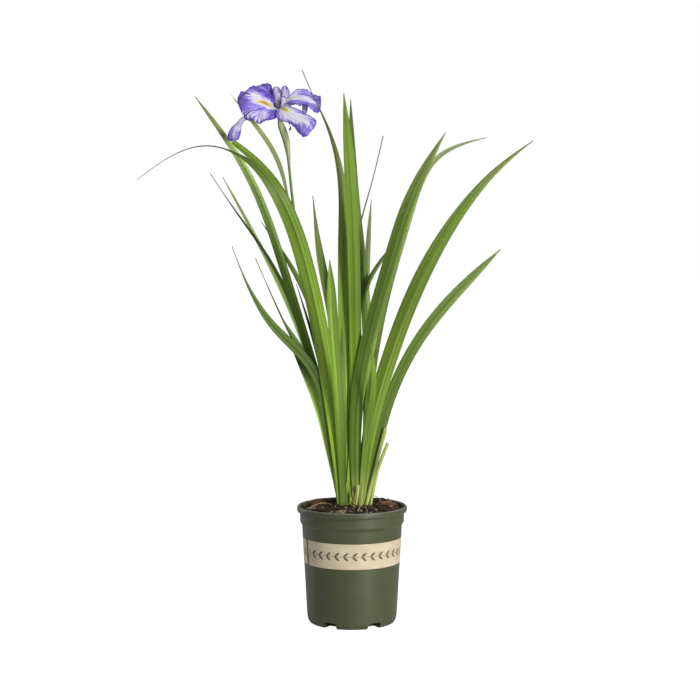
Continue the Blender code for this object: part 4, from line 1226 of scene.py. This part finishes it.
STYLE_ARMS = {
    "style_arm_left": (
        ((-1, 0, -3.4), (0, -0.5, -3.4), (1, 0.4, -3.4)),
        ((-5.4, 2.6, 5), (-2, 1.6, 5), (2, 2.6, 6)),
        ((-8, 4.6, 15), (-3, 3.4, 14), (2.5, 4.4, 15)),
        ((-9.8, 5.6, 24), (-4, 4.4, 23), (2.4, 5.4, 23)),
        ((-9, 4, 29), (-4, 3, 30.5), (1, 4, 28)),
    ),
    "style_arm_right": (
        ((1.8, 1.4, -3.4), (2.4, 0.8, -3.4), (3, 1.2, -3.4)),
        ((0.5, 5, 4), (3.5, 3.5, 5), (8, 5, 7)),
        ((1.5, 7.2, 17), (7, 6, 17), (13.8, 8, 16)),
        ((1.8, 8.2, 26), (8, 7, 26), (15, 9, 24)),
        ((4.4, 7.4, 30.5), (8.6, 6, 32), (12, 7.4, 30)),
    ),
    "style_arm_front": (
        ((1.2, -2, -3.4), (2, -2.4, -3.4), (3, -2, -3.4)),
        ((2, -5, 6), (5, -6.5, 6), (9, -5, 5)),
        ((2, -5.5, 11), (6, -7, 11), (11.5, -5.5, 10)),
        ((3, -6, 14.5), (6, -7, 15.5), (10, -6, 14)),
    ),
}


def make_petal(node, rows, seed, ruffle, waves, frill, pleats=0.0, thickness=PETAL_THICKNESS):
    """A petal through its rows, waved and finely frilled at its rims, where it also thins out."""
    columns = [curve_through([row[column] for row in rows], PETAL_ROWS)[1] for column in range(3)]
    along = np.gradient(columns[1], axis=0)
    spread = np.linspace(-1, 1, PETAL_COLUMNS + 1)
    spread = np.sin(spread * pi / 2) * 0.35 + spread * 0.65
    sheet, face_way = [], []
    for step in range(PETAL_ROWS + 1):
        across, line = curve_through([column[step] for column in columns], CURVE_POINTS)
        line = np.column_stack([np.interp(spread, across * 2 - 1, line[:, axis]) for axis in range(3)])
        face = unit(np.cross(columns[2][step] - columns[0][step], along[step]))
        sheet.append(line)
        face_way.append(np.broadcast_to(face, line.shape))
    sheet, face_way = np.array(sheet), np.array(face_way)
    share = np.linspace(0, 1, PETAL_ROWS + 1)[:, None]
    side = np.where(spread > 0, pi, 0)
    opened = smooth_step(2 * share)
    wave = ruffle * spread**2 * np.sin(2 * pi * waves * share + side) * opened
    fine = np.sin(2 * pi * waves * 2.7 * share + seed + 2.2 * side)
    fine = fine * np.sin(2 * pi * waves * 1.1 * share + seed)
    wave = wave + frill * np.abs(spread) ** 5 * fine * opened
    gap = np.linalg.norm(np.diff(sheet, axis=1), axis=2)
    reached = np.concatenate((np.zeros((len(sheet), 1)), np.cumsum(gap, axis=1)), axis=1)
    middle = reached[:, [PETAL_COLUMNS // 2]]
    length = np.linalg.norm(np.diff(sheet[:, PETAL_COLUMNS // 2], axis=0), axis=1)
    up = np.concatenate(([0.0], np.cumsum(length)))[:, None] + 0 * reached
    turned_by = np.arctan2(reached - middle, up - 4)
    spread_out = smooth_step(np.hypot(reached - middle, up - 4) / PLEATS_OPEN)
    folds = np.sin(9 * turned_by + seed) + 0.6 * np.sin(21 * turned_by + 2 * seed)
    wave = wave + pleats * spread_out * folds
    sheet = sheet + wave[..., None] * face_way + HEART
    to_side = np.minimum(reached, reached[:, [-1]] - reached)
    to_end = np.linalg.norm(sheet[:, :, None] - sheet[-1][None, None, ::4], axis=3).min(axis=2)
    rim = np.minimum(to_side, to_end)
    thick = PETAL_RIM + (thickness - PETAL_RIM) * smooth_step(rim / RIM_REACH)
    marks = {"sheet": np.stack((up, reached - middle, np.full_like(up, seed)), -1), "rim": rim}
    return closed_sheet(node + "_petal", sheet, face_way, thick, marks)


PETAL_COLOURS = ("Deep", "Violet", "White", "Halo", "Gold")
PATCHES = ("White", "Lobe", "Deep", "Fold", "Low Fold", "Signal")
# A patch that a petal doesn't have lies off the petal's foot
NO_PATCHES = {f"{name} Place": (-200, 0, 0) for name in PATCHES}
NO_PATCHES |= {f"{name} Size": (1, 1, 0) for name in PATCHES}
PETAL_VALUES = {"Violet Rim": 4, "Dark Rim": 8, "Throat Shade": 0}


def vein_fan(tree, up, side, from_up, from_side, seed):
    """Veins that fan out from one spot of the petal, 1 on a vein and 0 between two."""
    ahead = up - from_up
    angle = calc(tree, "ARCTAN2", side - from_side, ahead)
    broad = {0: angle * 9.0, 1: up * 0.04, 2: seed}
    fine = {0: angle * 24.0, 1: up * 0.07, 2: seed}
    broad = speckle(tree, add(tree, "CombineXYZ", broad).outputs[0], 1.0, 1.0)
    fine = speckle(tree, add(tree, "CombineXYZ", fine).outputs[0], 1.0, 2.0)
    mixed = broad * 0.45 + fine * 0.55
    return ease(tree, mixed, 0.36, 0.64)


def patch_off(tree, up, side, place, size, veins):
    """How far off the middle of an oval patch: 0 in its middle, 1 at its edge, less on a vein."""
    at_up, at_side, lean = three_parts(tree, place)
    length, width, fray = three_parts(tree, size)
    ahead = up - at_up
    across = side - at_side - ahead * lean
    ahead, across = ahead / length, across / width
    squares = ahead * ahead + across * across
    return calc(tree, "SQRT", squares) + (0.5 - veins) * fray


def frayed_patch(tree, up, side, place, size, veins):
    """Mask of a patch whose edge runs out along the veins."""
    return ease(tree, patch_off(tree, up, side, place, size, veins), 1.25, 0.7)


def petal_markings():
    """Shader group: a violet petal with white patches that run out along its veins.

    A patch has a place (mm up the petal, mm to its side, lean) and a size (half length, half
    width, how far it frays). White and Lobe are white; Deep and the two folds are painted shade,
    in a hollow and along creases; the throat, where given, is painted shade too; and the Signal
    is the yellow patch at the foot of a fall.
    """
    takes = {**dict.fromkeys(PETAL_COLOURS, "Color"), **dict.fromkeys(NO_PATCHES, "Vector")}
    takes |= dict.fromkeys(PETAL_VALUES, "Float")
    tree, given, results = new_group("petal_markings", takes, {"Color": "Color", "Height": "Float"})
    deep, violet, white, halo, gold = (given[name] for name in PETAL_COLOURS)
    patches = {name: (given[name + " Place"], given[name + " Size"]) for name in PATCHES}
    sheet, rim = stored(tree, "sheet", "Vector"), stored(tree, "rim")
    up, side, seed = three_parts(tree, sheet)
    veins = vein_fan(tree, up, side, 4.0, -1.0, seed)
    lobe_at = three_parts(tree, given["Lobe Place"])
    lobe_half = three_parts(tree, given["Lobe Size"])[1]
    lobe_foot = lobe_at[1] - lobe_half * 1.6
    lobe_start = lobe_at[0] - 8.0
    lobe_veins = vein_fan(tree, up, side, lobe_start, lobe_foot, seed)
    middle = frayed_patch(tree, up, side, *patches["White"], veins)
    lobe = frayed_patch(tree, up, side, *patches["Lobe"], lobe_veins)
    lobe = lobe * ease(tree, lobe_veins, 0.1, 0.7, 0.25, 1.0)
    rim_width = given["Violet Rim"]
    rim_fray = (veins - 0.5) * (rim_width * 0.6)
    rim_now = rim + rim_fray
    inside = ease(tree, rim_now / rim_width, 0.0, 1.3)
    # Painted shade in the throat, where the foot of the fall turns in under the flower.
    painted_throat_shade = ease(tree, up - side * 0.5, 14.0, 8.0)
    painted_throat_shade = painted_throat_shade * given["Throat Shade"]
    whiteness = calc(tree, "MAXIMUM", middle, lobe) * inside
    whiteness = whiteness * (1.0 - painted_throat_shade)
    cloud = speckle(tree, stretched(tree, sheet, 0.09, 0.09, 3.0), 1.0, 2.0)
    rim_cloud = rim + (cloud - 0.5) * 24.0
    dark = ease(tree, rim_cloud / given["Dark Rim"], 1.0, 0.1, 0.0, 0.9)
    # Painted shade: the Deep patch darkens the hollow where the petal curls in.
    painted_hollow_shade = frayed_patch(tree, up, side, *patches["Deep"], cloud)
    dark = calc(tree, "MAXIMUM", calc(tree, "MAXIMUM", dark, painted_throat_shade), painted_hollow_shade * 0.9)
    dark = calc(tree, "ADD", dark, ease(tree, veins, 0.7, 0.1, -0.08, 0.16), clamp=True)
    # The Fold and Low Fold patches are painted shade along the creases of the petal.
    crease_shade_masks = [frayed_patch(tree, up, side, *patches[name], cloud) for name in ("Fold", "Low Fold")]
    painted_crease_shade = calc(tree, "MAXIMUM", *crease_shade_masks) * 0.75
    dark = calc(tree, "MAXIMUM", dark, painted_crease_shade)
    whiteness = whiteness * (1.0 - painted_crease_shade)
    body = paint(tree, dark, violet, deep)
    pale_veins = ease(tree, veins, 0.6, 1.0, 0.0, 0.24) * ease(tree, rim, 1.0, 5.0)
    body = paint(tree, pale_veins, body, white)
    body = paint(tree, whiteness, body, white)
    dark_veins = whiteness * ease(tree, veins, 0.42, 0.0, 0.0, 0.34)
    body = paint(tree, dark_veins, body, violet)
    line = rim + veins * 0.5
    body = paint(tree, ease(tree, line, 2.0, 0.9, 0.0, 0.85), body, deep)
    off = patch_off(tree, up, side, *patches["Signal"], veins)
    body = paint(tree, ease(tree, off, 3.2, 1.6, 0.0, 0.9), body, white)
    body = paint(tree, ease(tree, off, 2.2, 0.9, 0.0, 0.85), body, halo)
    body = paint(tree, ease(tree, off, 1.15, 0.6), body, gold)
    lead(body, results["Color"])
    lead(veins, results["Height"])
    return tree


def petal_finish(name, shades, patches, values):
    """Velvety petal with raised veins; shades are deep, violet, white, halo and gold."""
    velvet = {"Roughness": 0.5, "Specular IOR Level": 0.25, "Sheen Weight": 0.08}
    made, tree, shader = new_finish(name, velvet)
    feeds = {socket: colour(*shade) for socket, shade in zip(PETAL_COLOURS, shades)}
    feeds |= {**NO_PATCHES, **PETAL_VALUES, **values}
    for patch, (place, size) in patches.items():
        feeds |= {patch + " Place": place, patch + " Size": size}
    petal = add(tree, "Group", feeds, node_tree=markings).outputs
    lead(petal["Color"], shader.inputs["Base Color"])
    bump(tree, shader, petal["Height"], 0.35)
    return made


DEEP_VIOLET = (82, 54, 158)
VIOLET = (138, 118, 211)
LAVENDER_WHITE = (222, 217, 237)
SIGNAL_PALE = (210, 199, 116)
SIGNAL_GOLD = (172, 150, 50)
markings = petal_markings()
fall_finishes = {
    "fall_left": petal_finish(
        "violet_fall",
        (DEEP_VIOLET, VIOLET, LAVENDER_WHITE, SIGNAL_PALE, SIGNAL_GOLD),
        {
            "White": ((32, -4, -0.28), (18, 5.5, 1.7)),
            "Lobe": ((33, 25, 0.3), (17, 8.5, 1.3)),
            # Fold, Low Fold and Deep are painted shade, along two creases and in the hollow of the upper
            # lobe.
            "Fold": ((46, 4, 0.1), (17, 1.6, 0.4)),
            "Low Fold": ((34, 16, 0.62), (17, 1.6, 0.5)),
            "Deep": ((20, -21, 0.2), (17, 8, 2.0)),
            "Signal": ((21, -1.5, 0.2), (9.5, 2.9, 0.3)),
        },
        {"Dark Rim": 17, "Throat Shade": 1},
    ),
    "fall_front": petal_finish(
        "white_fall",
        ((86, 64, 160), (128, 110, 198), (216, 213, 226), (218, 212, 132), (190, 178, 34)),
        {"White": ((20, 1, 0), (35, 17, 0.6)), "Signal": ((8, 2.5, 0.2), (5.8, 2.8, 0.3))},
        {"Violet Rim": 9, "Dark Rim": 6},
    ),
    "fall_right": petal_finish(
        "lilac_fall",
        ((82, 60, 158), (130, 113, 199), (203, 198, 224), (192, 194, 158), (178, 182, 132)),
        {
            "White": ((38, 0, -0.28), (24, 6.5, 0.7)),
            "Lobe": ((30, 14, 0.5), (12, 5.5, 1.5)),
            "Deep": ((64, 4, 0), (11, 30, 1.0)),
            "Signal": ((18, 2.5, 0), (7, 1.4, 0.3)),
        },
        {"Violet Rim": 3, "Dark Rim": 5},
    ),
}
for count, (node, rows) in enumerate(FALLS.items()):
    petal = make_petal(node, rows, 3 + count, *RUFFLES[node])
    set_in_place(node + "_petal", petal, fall_finishes[node], "petal_violet", node)
standard_shades = ((80, 56, 150), (116, 96, 184), (186, 180, 208), SIGNAL_PALE, SIGNAL_GOLD)
# The white patch of each standard, and the widths of its two rims
standard_patches = {
    "standard_front": (((56, 0, 0), (27, 17, 0.5)), 0.8, 3),
    "standard_right": (((36, 0, 0), (20, 7, 0.8)), 1.5, 0.5),
    "standard_back": (((30, 0, 0), (18, 6, 0.8)), 4, 2),
}
for count, (node, rows) in enumerate(STANDARDS.items()):
    petal = make_petal(node, rows, 10 + count, 0.6, 2.0, 0.4, 0.15)
    patch, violet_rim, dark_rim = standard_patches[node]
    rims = {"Violet Rim": violet_rim, "Dark Rim": dark_rim}
    finish = petal_finish(node + "_skin", standard_shades, {"White": patch}, rims)
    set_in_place(node + "_petal", petal, finish, "petal_pale", node)
cream = petal_finish(
    "cream_style",
    ((88, 68, 140), (150, 136, 192), (198, 190, 206), SIGNAL_PALE, SIGNAL_GOLD),
    {"White": ((14, 0, 0), (17, 5, 1.4))},
    {"Violet Rim": 2.4, "Dark Rim": 2},
)
for count, (node, rows) in enumerate(STYLE_ARMS.items()):
    petal = make_petal(node, rows, 20 + count, 0.3, 1.5, 0.7, thickness=0.6)
    set_in_place(node + "_petal", petal, cream, "petal_cream", node)

# Stamen: one thin thread that hangs out of the flower, with a dark anther at its end.
STAMEN_LINE = (
    (4, 2, -6),
    (9, -3, -14),
    (13.2, -12, -23),
    (16.6, -16, -29),
    (17, -17, -33),
    (15.2, -17, -36),
)
STAMEN_SIDES = 12


def make_stamen():
    """The thread and its anther, one closed skin."""
    share, middle = curve_through(STAMEN_LINE, 40)
    anther = 1.1 * np.exp(-(((share - 0.93) / 0.06) ** 2))
    radii = 0.5 + anther - 0.25 * smooth_step((share - 0.98) / 0.02)
    shape = bmesh.new()
    tint = shape.verts.layers.float.new("tint")
    for index, corner in enumerate(tube(shape, middle + HEART, radii, STAMEN_SIDES)):
        corner[tint] = share[index // STAMEN_SIDES]
    return as_mesh("stamen_thread", shape)


def stamen_finish():
    """A grey-violet thread that is nearly black at its anther."""
    made, tree, shader = new_finish("stamen_thread", {"Roughness": 0.6, "Specular IOR Level": 0.3})
    dark = ease(tree, stored(tree, "tint"), 0.78, 0.88)
    lead(paint(tree, dark, colour(120, 104, 128), colour(44, 36, 44)), shader.inputs["Base Color"])
    return made


set_in_place("stamen_thread", make_stamen(), stamen_finish(), "stamen_grey", "stamen")

# Studio: a white floor and a white room without corners, which the camera sees as plain white.
# A tall soft box stands on the right as the main light, with weak ones in front, above and
# behind. The camera looks slightly down, from where the photo was taken.
FLOOR_RADIUS = 40.0
ROOM_LIGHT = 0.25
LENS = 83
CAMERA_PLACE = (-0.003, -2.4, 0.564)
CAMERA_DOWN = 3.722
# Place, point that it faces, width, height and power of each, in metres and watts
SOFT_BOXES = {
    "key_soft_box": ((1.75, -2.25, 1.0), (0, 0, 0.4), 0.36, 2.2, 94),
    "fill_soft_box": ((-1.6, -2.6, 1.6), (0, 0, 0.5), 1.6, 1.6, 2),
    "top_soft_box": ((0.2, 0.2, 2.6), (0, 0, 0.4), 2.0, 2.0, 11),
    "rim_soft_box": ((-2.2, 1.5, 0.7), (0, 0, 0.4), 0.8, 2.0, 14),
}
scene = bpy.context.scene
scene.view_settings.view_transform = "Standard"


def stand(name, data, place=(0, 0, 0), turn=(0, 0, 0)):
    """Stands a light, the camera or the floor in the studio."""
    made = bpy.data.objects.new(name, data)
    made.location, made.rotation_euler = place, turn
    scene.collection.objects.link(made)
    return made


def for_camera(tree, lit, shown, outlet):
    """What lights the plant and what the camera sees are two different whites."""
    seen = add(tree, "LightPath", {}).outputs["Is Camera Ray"]
    both = add(tree, "MixShader", {0: seen, 1: lit.outputs[0], 2: shown.outputs[0]})
    lead(both.outputs[0], outlet.inputs["Surface"])


def floor_finish():
    """A pale, matt floor that shines white to the camera."""
    pale = {"Roughness": 0.9, "Base Color": (0.85, 0.85, 0.85, 1)}
    made, tree, shader = new_finish("white_floor", pale)
    glow = {"Emission Color": (1, 1, 1, 1), "Emission Strength": 0.9}
    shown = add(tree, "BsdfPrincipled", {"Roughness": 0.9, "Base Color": (0.4, 0.4, 0.4, 1), **glow})
    for_camera(tree, shader, shown, tree.nodes["Material Output"])
    return made


shape = bmesh.new()
bmesh.ops.create_circle(shape, cap_ends=True, segments=96, radius=FLOOR_RADIUS)
floor = stand("floor", as_mesh("floor", shape, 1, turn_outwards=False))
floor.data.materials.append(floor_finish())
floor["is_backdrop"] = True
room = scene.world = bpy.data.worlds.new("white_room")
room.use_nodes = True
tree = room.node_tree
tree.nodes.clear()
lit, shown = (add(tree, "Background", {"Color": (1, 1, 1, 1)}) for _ in range(2))
lit.inputs["Strength"].default_value = ROOM_LIGHT
for_camera(tree, lit, shown, add(tree, "OutputWorld", {}))
for name, (place, aim, width, height, power) in SOFT_BOXES.items():
    lamp = bpy.data.lights.new(name, "AREA")
    lamp.shape = "RECTANGLE"
    lamp.size, lamp.size_y, lamp.energy = width, height, power
    stand(name, lamp, place, (Vector(aim) - Vector(place)).to_track_quat("-Z", "Y").to_euler())
camera = bpy.data.cameras.new("camera")
camera.lens = LENS
scene.camera = stand("camera", camera, CAMERA_PLACE, (radians(90 - CAMERA_DOWN), 0, 0))
boxes = {"cad": cad_box, "visual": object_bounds()}
{name: [list(corner) for corner in box] for name, box in boxes.items()}
